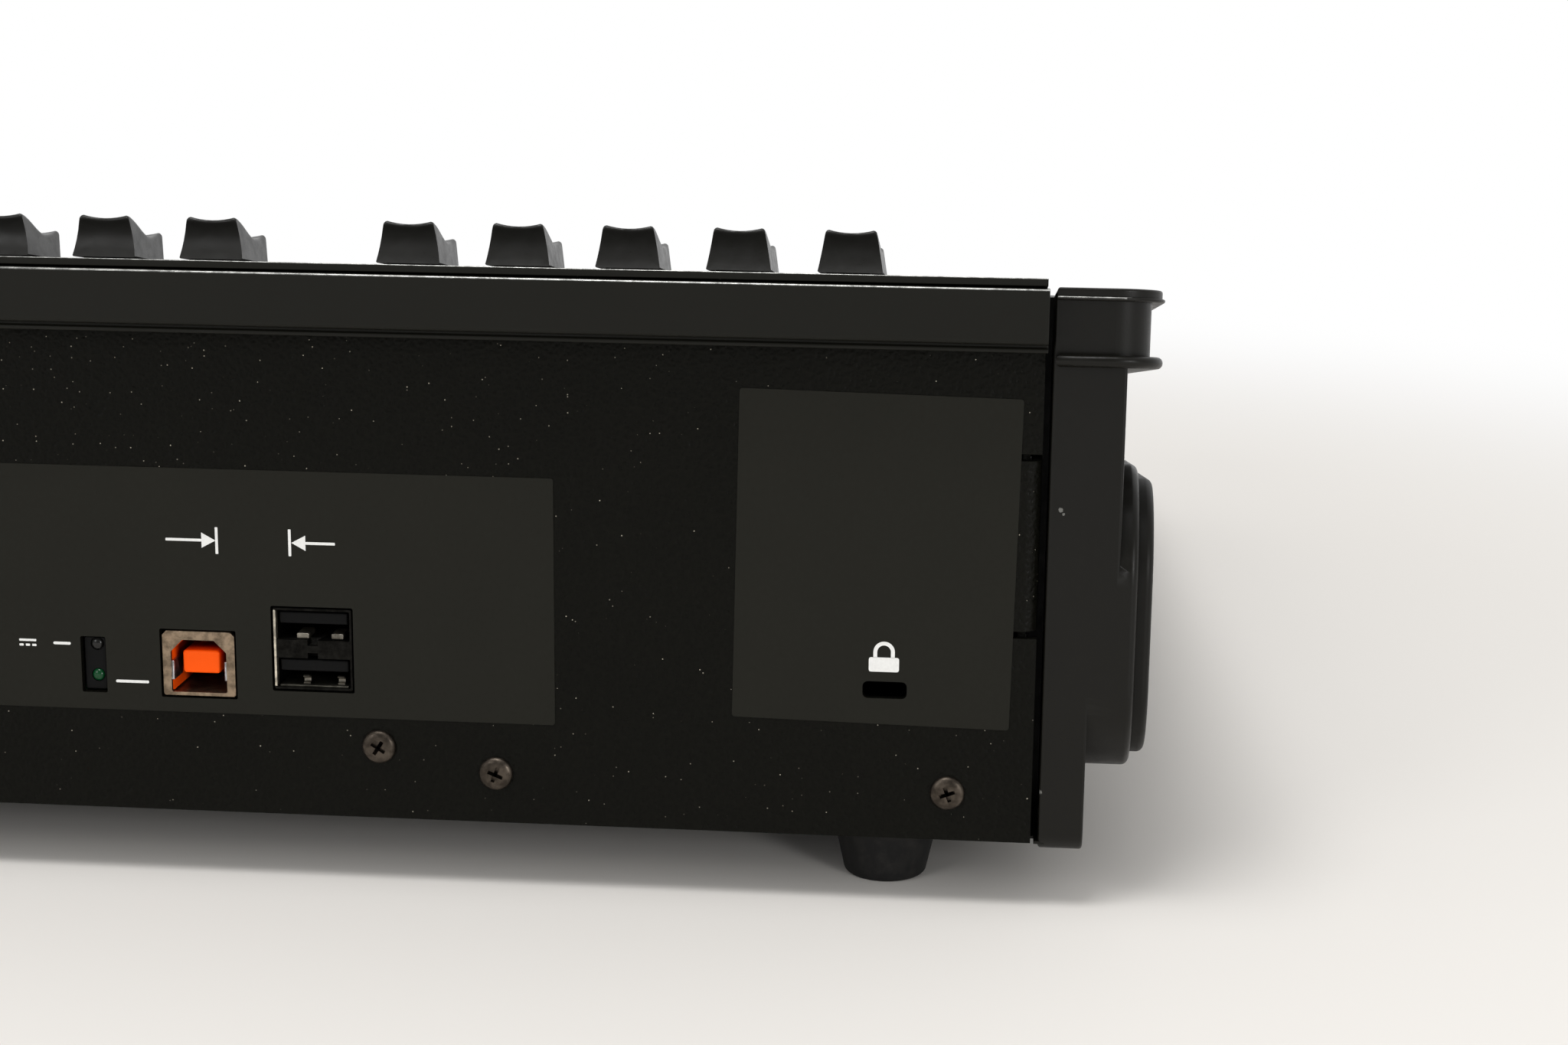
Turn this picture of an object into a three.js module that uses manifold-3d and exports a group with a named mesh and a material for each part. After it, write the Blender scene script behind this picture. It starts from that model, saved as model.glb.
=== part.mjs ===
// Lighting fader wing: two rows of slide faders, each with a flash key, on a sloping deck.
// Millimetres, +Z up. The operator sits at -Y, the sockets are on the rear panel at +Y.
// The origin is on the table under the middle of the housing.
import * as THREE from "three";
import { mergeVertices } from "three/addons/utils/BufferGeometryUtils.js";
import Module from "manifold-3d";

const wasm = await Module();
wasm.setup();

// Driving dimensions of the whole
const overallDepth = 316;
const deckSlope = THREE.MathUtils.degToRad(9.5);
const rearHeight = 91.2; // from the pan's underside to the deck's rear edge
const footHeight = 11;

// Fader layout, along and across the deck
const faderPitch = 22;
const groupPitch = 40; // between the last fader of one group and the first of the next
const fadersPerGroup = 5;
const groups = 2;
const endMargin = 37.2; // from the last fader to the housing's end
const rowNames = ["rear", "front"];
const rearRowShare = 0.4; // of the depth, from the deck's rear edge to a rear cap's middle at zero
const frontRowMargin = 38; // from the deck's front edge to a front cap's middle at zero
const faderTravel = 60;
const keyOffset = 23.7; // from a cap's middle at zero to its key's middle

// Sheets, bends and clearances
const panSheet = 1.2;
const deckSheet = 1.2;
const panelSheet = 1.5;
const bendRadius = 1;
const seatGap = 0.3; // between pieces that seat on each other
const cutOverrun = 2; // how far a cut runs past the faces that it opens
const weldDistance = 1e-4;

// Rear rail
const railReach = 6; // behind the rear panel
const railEndOverlap = 0.3;
const railLedge = 1;
const railFaceDrop = 8.8; // this drop and the next three are below the deck's rear edge
const railGroove = 0.9;
const railLip = 0.7;
const railEdge = 0.4;
const railDrop = 11.4;
const railGripDepth = 5; // in front of the rear panel's rear face
const railGripDrop = 7.2;

// Rear panel
const panelDrop = 5.2;
const notchWidth = 3.9;
const notchHeight = 1.1;
const tabBottom = 34.8;
const tabTop = 62.1;
const tabLength = 14;
const tabBendRadius = 0.9;
const panFlangeHeight = 14;
const panTopFlange = 8;

// Deck's front lip and the pan's posts
const deckLip = 16;
const postRadius = 3;
const postBore = 1.3;
const postInset = 6;

// End cheeks, measured outward from the housing's end
const cheekInner = 1.2;
const cheekThinOuter = 8.3;
const cheekThickOuter = 12.6;
const cheekBottomDrop = 0.75; // below the pan's underside
const cheekCornerRadius = 4;
const cheekRibInset = 18; // from the rear panel, and from the deck's front edge
const cheekRibLength = 2.4;
const cheekPadRadius = 5;
const cheekPadShares = [0.2, 0.5, 0.86]; // along the cheek, from its front
const cheekPadHeightShare = 0.45;
const bumperInner = 1.48;
const bumperDrop = 1.15; // below the deck's surface
const bumperHeight = 12.2;
const bumperTopFlange = 1.5;
const bumperBottomFlange = 1.9;
const bumperOuter = 18.05;
const bumperChannel = 2;
const bumperReach = 3; // past the cheek's rear and front faces
const bumperCorner = 7.6;

// Side bosses
const bossLength = 72;
const bossBottom = 11.6;
const bossTop = 59; // at the plate's rear edge, from where it follows the deck's slope
const bossStepWidth = 2.2; // of the cheek's pedestal, past the plate all round
const bossStepOuter = 15.5;
const bossOuter = 17.9;
const bossCorner = 14;
const bossPocketDepth = 1.5;
const bossEdge = 1.2;
const bossPocketGap = 0.6;

// Feet
const footInset = 23.8;
const footRearInset = 15.6;
const footTopRadius = 9;
const footBottomRadius = 6.9;
const footEdge = 1;
const footRecessRadius = 3.2;
const footRecessDepth = 5;

// Sockets, measured along the rear panel from its end at -X and up from the pan's underside
const boardTop = 19.2;
const boardSheet = 1.6;
const boardDepth = 62;
const boardSetBack = 4;
const boardMargin = 14;
const squareSocketSpacing = 17.43; // from the lights' middle
const squareSocket = { bottom: 19.5, width: 12.04, height: 10.9, depth: 16.4 };
const squareSocketHole = { width: 8.8, height: 8.45, rise: 0.9, chamfer: 2 };
const squareSocketFace = 0.6;
const squareSocketSkin = 0.45;
const squareTongue = { width: 6.1, height: 3.4, rise: 3.6, setBack: 1.6, root: 12 };
const socketClearance = 0.3;
const flatSocketSpacing = 18.92; // from the square socket's middle
const flatSocket = { bottom: 21.2, width: 12.9, height: 13.6, depth: 17 };
const flatPortWidth = 12.2;
const flatPortHeight = 4.9;
const flatPortSpread = 7.9; // between the two ports' middles
const flatTongue = { width: 11.2, height: 1.9, setBack: 1, drop: 0.5 };
const flatBack = 4;
const jackSpacing = 29.6; // from the lights' middle
const jack = { height: 24.6, width: 9.6, rise: 10.4, depth: 14 };
const jackCollarRadius = 4.4;
const jackBoreRadius = 3.2;
const jackBoreDepth = 9.5;
const jackPinRadius = 1;
const jackPinSetBack = 1.5;
const lights = { middle: 152.4, bottom: 19.6, width: 4.2, height: 9.4, depth: 6, setBack: 0.8 };
const lensRadius = 1;
const lensRises = [2.75, 8];
const lensOffset = -0.4;
const lensProud = 0.5;
const lockSlot = { middle: 23.72, bottom: 23.2, width: 7.03, height: 2.8 };
const lockCornerShare = 0.3;

// Fader caps and levers, in the deck's frame
const capLength = 19.8;
const capHeight = 12.1;
const capClearance = 1.5;
const capTopWidth = 9.9;
const capFlareShare = 0.18;
const capBodyHeight = 8.4;
const capUndercut = 1.6; // the front face leans back by this much at the bottom
const capDish = 0.8;
const capEdge = 0.7;
const saddleDrop = 3.5;
const tipDrop = 2.2;
const saddleShare = 0.61; // the saddle's low point, from the rear
const scoopDepth = 0.8;
const skirtInset = 1.6;
const skirtCorner = 1.2;
const leverWidth = 1.6;
const leverLength = 5;
const leverDepth = 4.5; // below the deck's surface
const slotWidth = 3.2;
const slotEndClearance = 0.6;
const slotRoundShare = 0.98;
const capDishShares = [0.92, 0.45, 0, -0.45, -0.92]; // of the top's half width, from +X to -X
const capStationShares = [0.22, 0.42, 0.62, 0.81]; // along the cap, from the rear
const capEdgeAngles = [0, Math.PI / 2];

// Flash keys
const keyWidth = 12;
const keyLength = 11;
const keyProud = 3.2;
const keyCorner = 1.6;
const keyEdge = 0.8;
const keyTravel = 1.2;
const keyFlange = 1; // thickness and reach of the flange under the deck
const keyClearance = 0.3;
const plungerRadius = 1.7;
const plungerLength = 2.3;
const plungerRunClearance = 0.3;

// Fader board under the deck
const potWidth = 9;
const potHeight = 7;
const potEnd = 4;
const switchWidth = 6.4;
const faderBoardMargin = 8;
const runClearance = 0.3;

// Sides per curve
const arcSegments = 2;
const bumperSegments = 4;
const bossSegments = 3; // the same as a soft prism's own corners
const roundSides = 32;
const scoopSides = 24;
const smallSides = 6;

// Derived places
const faderCount = fadersPerGroup * groups;
const housingWidth = 2 * endMargin + (faderCount - groups) * faderPitch + (groups - 1) * groupPitch;
const housingHalf = housingWidth / 2;
const rearPlane = overallDepth / 2 - railReach;
const frontPlane = bumperReach - overallDepth / 2;
const deckRear = rearPlane + railReach - railLedge;
const railFaceBottom = rearHeight - railFaceDrop;
const railBottom = rearHeight - railDrop;
const railGripBottom = rearHeight - railGripDrop;
const panelTop = rearHeight - panelDrop;
const jackMiddle = lights.middle + jackSpacing;
const squareSocketMiddle = lights.middle - squareSocketSpacing;
const flatSocketMiddle = squareSocketMiddle - flatSocketSpacing;
const deckRearTop = footHeight + rearHeight;
const slopeRise = Math.tan(deckSlope);
const slopeStretch = 1 / Math.cos(deckSlope);
const rowZeros = [overallDepth * rearRowShare, (deckRear - frontPlane) * slopeStretch - frontRowMargin];
const panOuter = housingHalf - panelSheet - seatGap;
const panRear = rearPlane - panelSheet - seatGap;
const panFront = frontPlane + deckSheet + seatGap;
const deckTopAt = (y) => deckRearTop - (deckRear - y) * slopeRise;
const underDeckAt = (y) => deckTopAt(y) - deckSheet * slopeStretch;
const seatUnderDeckAt = (y) => underDeckAt(y) - seatGap * slopeStretch;
const bumperTopAt = (y) => deckTopAt(y) - bumperDrop;
const acrossPanel = (along) => along - housingHalf;
const up = (height) => footHeight + height;

// Materials
const finish = (colour, roughness, metalness) =>
  new THREE.MeshStandardMaterial({ color: colour, roughness, metalness });
const coatedSheet = () => finish(0x1c1c1b, 0.72, 0.1);
const satinRail = () => finish(0x262622, 0.42, 0.2);
const moulding = () => finish(0x1a1a1a, 0.55, 0);
const softRubber = () => finish(0x151515, 0.85, 0);
const platedMetal = () => finish(0xb9bbbd, 0.3, 1);
const orangePlastic = () => finish(0xd9641c, 0.5, 0);
const blackPlastic = () => finish(0x111111, 0.5, 0);
const capPlastic = () => finish(0x161616, 0.38, 0);
const keyPlastic = () => finish(0x3a3b3d, 0.5, 0);
const circuitBoard = () => finish(0x1f5a35, 0.6, 0);

// Turns a closed three.js geometry into a solid that can be joined and cut
function solid(geometry, placement = new THREE.Matrix4()) {
  const bare = geometry.index ? geometry.toNonIndexed() : geometry.clone();
  bare.deleteAttribute("normal");
  bare.deleteAttribute("uv");
  bare.applyMatrix4(placement);
  const merged = mergeVertices(bare, weldDistance);
  const mesh = new wasm.Mesh({
    numProp: 3,
    vertProperties: merged.attributes.position.array,
    triVerts: new Uint32Array(merged.index.array),
  });
  return new wasm.Manifold(mesh);
}

// Turns a solid back into a named mesh of the scene
function addMesh(parent, name, body, material) {
  const { vertProperties, triVerts } = body.getMesh();
  const geometry = new THREE.BufferGeometry();
  geometry.setAttribute("position", new THREE.BufferAttribute(vertProperties, 3));
  geometry.setIndex(new THREE.BufferAttribute(triVerts, 1));
  const faceted = geometry.toNonIndexed();
  faceted.computeVertexNormals();
  const mesh = new THREE.Mesh(faceted, material);
  mesh.name = name;
  parent.add(mesh);
  return mesh;
}

// Placements: an outline is drawn in the plane that its solid is extruded across
const alongX = (x) =>
  new THREE.Matrix4()
    .makeBasis(new THREE.Vector3(0, 1, 0), new THREE.Vector3(0, 0, 1), new THREE.Vector3(1, 0, 0))
    .setPosition(x, 0, 0);
const forwardFrom = (y) =>
  new THREE.Matrix4()
    .makeBasis(new THREE.Vector3(1, 0, 0), new THREE.Vector3(0, 0, 1), new THREE.Vector3(0, -1, 0))
    .setPosition(0, y, 0);
const upFrom = (z) => new THREE.Matrix4().makeTranslation(0, 0, z);

// A closed outline whose corners are [x, y, radius], the radius being optional
function outline(corners) {
  const shape = new THREE.Shape();
  corners.forEach(([x, y, radius = 0], i) => {
    const corner = new THREE.Vector2(x, y);
    const before = new THREE.Vector2(...corners.at(i - 1)).sub(corner).normalize();
    const after = new THREE.Vector2(...corners[(i + 1) % corners.length]).sub(corner).normalize();
    const draw = i === 0 ? "moveTo" : "lineTo";
    if (!radius) {
      shape[draw](x, y);
      return;
    }
    const halfAngle = Math.acos(THREE.MathUtils.clamp(before.dot(after), -1, 1)) / 2;
    const start = corner.clone().addScaledVector(before, radius / Math.tan(halfAngle));
    const end = corner.clone().addScaledVector(after, radius / Math.tan(halfAngle));
    const inward = before.clone().add(after).normalize();
    const centre = corner.clone().addScaledVector(inward, radius / Math.sin(halfAngle));
    const from = Math.atan2(start.y - centre.y, start.x - centre.x);
    const to = Math.atan2(end.y - centre.y, end.x - centre.x);
    shape[draw](start.x, start.y);
    shape.absarc(centre.x, centre.y, radius, from, to, before.cross(after) > 0);
  });
  shape.closePath();
  return shape;
}

// A rectangle by its limits, with rounded corners
const rectangle = (x0, x1, y0, y1, radius = 0) =>
  outline([
    [x0, y0, radius],
    [x1, y0, radius],
    [x1, y1, radius],
    [x0, y1, radius],
  ]);

function prism(shape, length, placement, segments = arcSegments) {
  const options = { depth: length, bevelEnabled: false, curveSegments: segments };
  return solid(new THREE.ExtrudeGeometry(shape, options), placement);
}

// An extrusion whose end edges are rounded off inside its outline
function softPrism(shape, length, edge, placement, steps = 2) {
  const options = {
    depth: length - 2 * edge,
    bevelEnabled: true,
    bevelSize: edge,
    bevelThickness: edge,
    bevelOffset: -edge,
    bevelSegments: steps,
    curveSegments: 2 * steps - 1,
  };
  const geometry = new THREE.ExtrudeGeometry(shape, options).translate(0, 0, edge);
  return solid(geometry, placement);
}

function block([x0, x1], [y0, y1], [z0, z1]) {
  const geometry = new THREE.BoxGeometry(x1 - x0, y1 - y0, z1 - z0);
  return solid(geometry.translate((x0 + x1) / 2, (y0 + y1) / 2, (z0 + z1) / 2));
}

// A round bar along Z
function upright(radius, x, y, z0, z1, sides = roundSides) {
  const geometry = new THREE.CylinderGeometry(radius, radius, z1 - z0, sides).rotateX(Math.PI / 2);
  return solid(geometry.translate(x, y, (z0 + z1) / 2));
}

// A round bar along Y, from its rear end forward
function levelBar(radius, x, z, yRear, length, sides = roundSides) {
  const geometry = new THREE.CylinderGeometry(radius, radius, length, sides);
  return solid(geometry.translate(x, yRear - length / 2, z));
}

const joined = (first, ...others) => others.reduce((sum, other) => sum.add(other), first);
const cut = (first, ...others) => others.reduce((rest, other) => rest.subtract(other), first);

// Base pan: floor, side walls with inward flanges, front wall, rear flange and board posts
function basePan() {
  const bottom = footHeight;
  const railFront = rearPlane - railGripDepth - seatGap;
  const belowRail = up(railGripBottom) - seatGap;
  const wallOutline = outline([
    [panFront, bottom],
    [panRear, bottom],
    [panRear, up(railBottom)],
    [railFront, up(railBottom)],
    [railFront, seatUnderDeckAt(railFront)],
    [panFront, seatUnderDeckAt(panFront), bendRadius],
  ]);
  const flangeOutline = outline([
    [panFront + bendRadius, seatUnderDeckAt(panFront + bendRadius)],
    [panFront + bendRadius, seatUnderDeckAt(panFront + bendRadius) - panSheet * slopeStretch],
    [railFront, seatUnderDeckAt(railFront) - panSheet * slopeStretch],
    [railFront, seatUnderDeckAt(railFront)],
  ]);
  const flangeWidth = panSheet + panTopFlange;
  const across = [-panOuter, panOuter];
  const frontTop = seatUnderDeckAt(panFront) - bendRadius;
  const rearFlangeTop = Math.min(bottom + panFlangeHeight, belowRail);
  const pieces = [
    block(across, [panFront, panRear], [bottom, bottom + panSheet]),
    block(across, [panFront, panFront + panSheet], [bottom, frontTop]),
    block(across, [panRear - panSheet, panRear], [bottom, rearFlangeTop]),
    prism(wallOutline, panSheet, alongX(-panOuter)),
    prism(wallOutline, panSheet, alongX(panOuter - panSheet)),
    prism(flangeOutline, flangeWidth, alongX(-panOuter)),
    prism(flangeOutline, flangeWidth, alongX(panOuter - flangeWidth)),
  ];
  const postTop = up(boardTop) - boardSheet - seatGap;
  for (const [x, y] of postPlaces()) pieces.push(upright(postRadius, x, y, bottom, postTop, smallSides));
  const bores = postPlaces().map(([x, y]) =>
    upright(postBore, x, y, bottom + panSheet, postTop + cutOverrun, smallSides),
  );
  return cut(joined(...pieces), ...bores);
}

// The socket board's outline follows the sockets at its two ends
const boardLeft = acrossPanel(flatSocketMiddle) - flatSocket.width / 2 - boardMargin;
const boardRight = acrossPanel(jackMiddle) + jack.width / 2 + boardMargin;
const boardRear = panRear - boardSetBack;
const boardFront = boardRear - boardDepth;
function postPlaces() {
  const places = [];
  for (const x of [boardLeft + postInset, boardRight - postInset])
    for (const y of [boardFront + postInset, boardRear - postInset]) places.push([x, y]);
  return places;
}

// Rear panel: a sheet with socket openings and end notches, between which a tab folds forward
function rearPanel() {
  const bend = tabBendRadius + panelSheet;
  const end = [
    [housingHalf, footHeight],
    [housingHalf, up(tabBottom) - notchHeight],
    [housingHalf - notchWidth, up(tabBottom) - notchHeight],
    [housingHalf - notchWidth, up(tabBottom)],
    [housingHalf - bend, up(tabBottom)],
    [housingHalf - bend, up(tabTop)],
    [housingHalf - notchWidth, up(tabTop)],
    [housingHalf - notchWidth, up(tabTop) + notchHeight],
    [housingHalf, up(tabTop) + notchHeight],
    [housingHalf, up(panelTop)],
  ];
  const otherEnd = end.map(([x, z]) => [-x, z]).reverse();
  const sheet = prism(outline([...end, ...otherEnd]), panelSheet, forwardFrom(rearPlane));
  const tabs = [1, -1].map((side) => {
    const corners = [
      [side * (housingHalf - bend - panelSheet), rearPlane],
      [side * (housingHalf - bend - panelSheet), rearPlane - panelSheet],
      [side * (housingHalf - panelSheet), rearPlane - panelSheet, tabBendRadius],
      [side * (housingHalf - panelSheet), rearPlane - tabLength],
      [side * housingHalf, rearPlane - tabLength],
      [side * housingHalf, rearPlane, bend],
    ];
    return prism(outline(corners), tabTop - tabBottom, upFrom(up(tabBottom)));
  });
  return cut(joined(sheet, ...tabs), ...panelOpenings());
}

// A rectangular opening through the rear panel round a piece of the given size
function openingRound(piece, along, clearance) {
  const middle = acrossPanel(along);
  const half = piece.width / 2 + clearance;
  const low = up(piece.bottom) - clearance;
  const high = up(piece.bottom) + piece.height + clearance;
  return block(
    [middle - half, middle + half],
    [rearPlane - panelSheet - cutOverrun, rearPlane + cutOverrun],
    [low, high],
  );
}

function panelOpenings() {
  const slotMiddle = acrossPanel(lockSlot.middle);
  const slot = rectangle(
    slotMiddle - lockSlot.width / 2,
    slotMiddle + lockSlot.width / 2,
    up(lockSlot.bottom),
    up(lockSlot.bottom) + lockSlot.height,
    lockSlot.height * lockCornerShare,
  );
  const through = panelSheet + 2 * cutOverrun;
  return [
    openingRound(squareSocket, squareSocketMiddle, socketClearance),
    openingRound(flatSocket, flatSocketMiddle, socketClearance),
    openingRound(lights, lights.middle, 0),
    prism(slot, through, forwardFrom(rearPlane + cutOverrun)),
    levelBar(
      jackCollarRadius + socketClearance,
      acrossPanel(jackMiddle),
      up(jack.height),
      rearPlane + cutOverrun,
      through,
    ),
  ];
}

// Rear rail: grips the panel's top edge and carries the deck's rear edge on a ledge
function rearRail() {
  const rearFace = rearPlane + railReach;
  const ledge = seatUnderDeckAt(deckRear);
  const grooveFace = rearFace - 2 * railGroove;
  const lipTop = up(railBottom) + railLip;
  const grooveTop = up(railFaceBottom) - railGroove;
  const gripOuter = rearPlane + seatGap;
  const gripInner = rearPlane - panelSheet - seatGap;
  const front = rearPlane - railGripDepth;
  const section = outline([
    [rearFace, up(railFaceBottom) - railGroove, railGroove],
    [rearFace, ledge, railEdge],
    [deckRear, ledge],
    [front, seatUnderDeckAt(front)],
    [front, up(railGripBottom)],
    [gripInner, up(railGripBottom)],
    [gripInner, up(panelTop) + seatGap],
    [gripOuter, up(panelTop) + seatGap],
    [gripOuter, up(railBottom)],
    [rearFace - railGroove, up(railBottom)],
    [rearFace - railGroove, lipTop],
    [grooveFace, lipTop],
    [grooveFace, grooveTop],
  ]);
  const half = housingHalf + railEndOverlap;
  return prism(section, 2 * half, alongX(-half));
}

// Deck: a sheet that slopes down to the front and folds into a lip
function deck() {
  const lipBottom = deckTopAt(frontPlane) - deckLip;
  const inner = frontPlane + deckSheet;
  const section = outline([
    [deckRear, underDeckAt(deckRear)],
    [deckRear, deckTopAt(deckRear)],
    [frontPlane, deckTopAt(frontPlane), bendRadius + deckSheet],
    [frontPlane, lipBottom],
    [inner, lipBottom],
    [inner, underDeckAt(inner), bendRadius],
  ]);
  const sheet = prism(section, housingWidth, alongX(-housingHalf));
  const cutters = [];
  const thickness = deckSheet + 2 * cutOverrun;
  for (const [x, zero] of faderPlaces()) {
    const half = slotWidth / 2;
    const end = leverLength / 2 + slotEndClearance;
    const slot = rectangle(x - half, x + half, zero - end, zero + faderTravel + end, half * slotRoundShare);
    cutters.push(prism(slot, thickness, inDeckFrame(-deckSheet - cutOverrun), 1));
    const key = zero - keyOffset;
    const keyHole = rectangle(
      x - keyWidth / 2 - keyClearance,
      x + keyWidth / 2 + keyClearance,
      key - keyLength / 2 - keyClearance,
      key + keyLength / 2 + keyClearance,
      keyCorner + keyClearance,
    );
    cutters.push(prism(keyHole, thickness, inDeckFrame(-deckSheet - cutOverrun), 1));
  }
  return cut(sheet, ...cutters);
}

// The deck's own frame: its origin is on the rear edge, +Y runs up the slope, +Z off the deck
const deckFrame = new THREE.Group();
deckFrame.position.set(0, deckRear, deckRearTop);
deckFrame.rotation.x = deckSlope;
deckFrame.updateMatrix();
const inDeckFrame = (z) => deckFrame.matrix.clone().multiply(upFrom(z));

// [x, y] of each cap's middle at zero in the deck's frame, row by row
function faderPlaces() {
  const places = [];
  rowNames.forEach((name, row) => {
    for (let i = 0; i < faderCount; i += 1) {
      const gaps = Math.floor(i / fadersPerGroup);
      const x = endMargin - housingHalf + (i - gaps) * faderPitch + gaps * groupPitch;
      places.push([x, -rowZeros[row]]);
    }
  });
  return places;
}

// End cheek at +X: a stepped moulding with a channel bumper round its upper edge
function cheek() {
  const bottom = footHeight - cheekBottomDrop;
  const side = outline([
    [frontPlane, bottom, cheekCornerRadius],
    [rearPlane, bottom, cheekCornerRadius],
    [rearPlane, bumperTopAt(rearPlane)],
    [frontPlane, bumperTopAt(frontPlane)],
  ]);
  const bandCorner = bossCorner + bossStepWidth;
  const thickBand = outline([
    [frontPlane, up(bossBottom), cheekCornerRadius],
    [rearPlane, up(bossBottom), bandCorner],
    [rearPlane, bumperTopAt(rearPlane)],
    [frontPlane, bumperTopAt(frontPlane)],
  ]);
  const inner = housingHalf + cheekInner;
  const thin = housingHalf + cheekThinOuter;
  const pedestalSeat = thin - 2 * bossEdge;
  const pedestalFace = housingHalf + bossStepOuter;
  const body = joined(
    prism(side, cheekThinOuter - cheekInner, alongX(inner)),
    prism(thickBand, cheekThickOuter - cheekInner, alongX(inner)),
    softPrism(bossOutline(bossStepWidth), pedestalFace - pedestalSeat, bossEdge, alongX(pedestalSeat)),
  );
  const pocketFloor = pedestalFace - bossPocketDepth;
  const pocket = prism(bossOutline(bossPocketGap), bossOuter, alongX(pocketFloor), bossSegments);
  const padInner = panOuter + seatGap;
  const pads = cheekPadShares.map((share) => {
    const y = THREE.MathUtils.lerp(frontPlane, rearPlane, share);
    const z = THREE.MathUtils.lerp(bottom, bumperTopAt(y), cheekPadHeightShare);
    const length = thin - padInner;
    const pad = new THREE.CylinderGeometry(cheekPadRadius, cheekPadRadius, length, roundSides / 2);
    return solid(pad.rotateZ(Math.PI / 2).translate((thin + padInner) / 2, y, z));
  });
  const ribs = [rearPlane - cheekRibInset, frontPlane + cheekRibInset].map((rear) => {
    const front = rear - cheekRibLength;
    const ribTop = seatUnderDeckAt(front);
    return block([padInner, (inner + thin) / 2], [front, rear], [footHeight, ribTop]);
  });
  return joined(cut(body, pocket), bumper(), ...pads, ...ribs);
}

// The bumper is three bands that follow the deck's slope and turn both corners in plan
function bumper() {
  const reach = bumperReach;
  const rear = rearPlane + reach;
  const front = frontPlane - reach;
  const webTop = bumperTopFlange;
  const webBottom = bumperHeight - bumperBottomFlange;
  const layers = [
    { from: 0, to: webTop, inset: 0 },
    { from: webTop / 2, to: (webBottom + bumperHeight) / 2, inset: bumperChannel },
    { from: webBottom, to: bumperHeight, inset: 0 },
  ];
  const left = housingHalf + bumperInner;
  const right = housingHalf + bumperOuter;
  const bands = layers.map(({ from, to, inset }) => {
    const band = outline([
      [front - cutOverrun, bumperTopAt(front - cutOverrun) - to],
      [rear + cutOverrun, bumperTopAt(rear + cutOverrun) - to],
      [rear + cutOverrun, bumperTopAt(rear + cutOverrun) - from],
      [front - cutOverrun, bumperTopAt(front - cutOverrun) - from],
    ]);
    const plan = outline([
      [left, front + inset],
      [right - inset, front + inset, bumperCorner - inset],
      [right - inset, rear - inset, bumperCorner - inset],
      [left, rear - inset],
    ]);
    const column = prism(plan, overallDepth, upFrom(0), bumperSegments);
    return prism(band, bumperOuter, alongX(left)).intersect(column);
  });
  return joined(...bands);
}

// The boss and its pedestal end flush with the cheek's rear, and their tops follow the deck
function bossOutline(widening) {
  const plateRear = rearPlane - bossStepWidth;
  const rear = plateRear + widening;
  const front = plateRear - bossLength - widening;
  const low = up(bossBottom) - widening;
  const topAt = (y) => up(bossTop) - (plateRear - y) * slopeRise + widening * slopeStretch;
  const radius = bossCorner + widening;
  return outline([
    [front, low, radius],
    [rear, low, radius],
    [rear, topAt(rear), radius],
    [front, topAt(front), radius],
  ]);
}

// Side boss at +X: a rounded plate seated in the pocket of the cheek's pedestal
function sideBoss() {
  const seat = housingHalf + bossStepOuter - bossPocketDepth + seatGap;
  const face = housingHalf + bossOuter;
  return softPrism(bossOutline(0), face - seat, bossEdge, alongX(seat));
}

// Rubber foot: tapered, with a screw recess from below
function foot() {
  const top = footHeight - seatGap;
  const profile = [
    [0, footRecessDepth],
    [footRecessRadius, footRecessDepth],
    [footRecessRadius, 0],
    [footBottomRadius - footEdge, 0],
    [footBottomRadius, footEdge],
    [footTopRadius, top - footEdge],
    [footTopRadius, top],
    [0, top],
  ];
  const points = profile.map(([radius, height]) => new THREE.Vector2(radius, height));
  return solid(new THREE.LatheGeometry(points, roundSides / 2).rotateX(Math.PI / 2));
}

// Square socket: a metal shell with a bevelled mouth, and its insert with a square tongue
function squareSocketShell() {
  const { width, height, depth } = squareSocket;
  const middle = acrossPanel(squareSocketMiddle);
  const low = up(squareSocket.bottom);
  const shell = block(
    [middle - width / 2, middle + width / 2],
    [rearPlane - depth, rearPlane],
    [low, low + height],
  );
  const inside = block(
    [middle - width / 2 + squareSocketSkin, middle + width / 2 - squareSocketSkin],
    [rearPlane - depth - cutOverrun, rearPlane - squareSocketFace],
    [low + squareSocketSkin, low + height - squareSocketSkin],
  );
  const mouth = prism(squareMouth(0), depth, forwardFrom(rearPlane + cutOverrun));
  return cut(shell, inside, mouth);
}

function squareMouth(widening) {
  const { width, height, rise, chamfer } = squareSocketHole;
  const middle = acrossPanel(squareSocketMiddle);
  const half = width / 2 + widening;
  const low = up(squareSocket.bottom) + rise - widening;
  const high = low + height + 2 * widening;
  return outline([
    [middle - half, low],
    [middle + half, low],
    [middle + half, high - chamfer],
    [middle + half - chamfer, high],
    [middle - half + chamfer, high],
    [middle - half, high - chamfer],
  ]);
}

function squareSocketInsert() {
  const { width, height, depth } = squareSocket;
  const middle = acrossPanel(squareSocketMiddle);
  const low = up(squareSocket.bottom);
  const skin = squareSocketSkin + seatGap;
  const front = rearPlane - squareSocketFace - seatGap;
  const body = block(
    [middle - width / 2 + skin, middle + width / 2 - skin],
    [rearPlane - depth, front],
    [low + skin, low + height - skin],
  );
  const hollow = prism(squareMouth(0), squareTongue.root, forwardFrom(front + cutOverrun));
  const tongueLow = low + squareTongue.rise;
  const tongue = block(
    [middle - squareTongue.width / 2, middle + squareTongue.width / 2],
    [rearPlane - squareTongue.root - cutOverrun, rearPlane - squareTongue.setBack],
    [tongueLow, tongueLow + squareTongue.height],
  );
  return cut(body, hollow).add(tongue);
}

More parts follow.
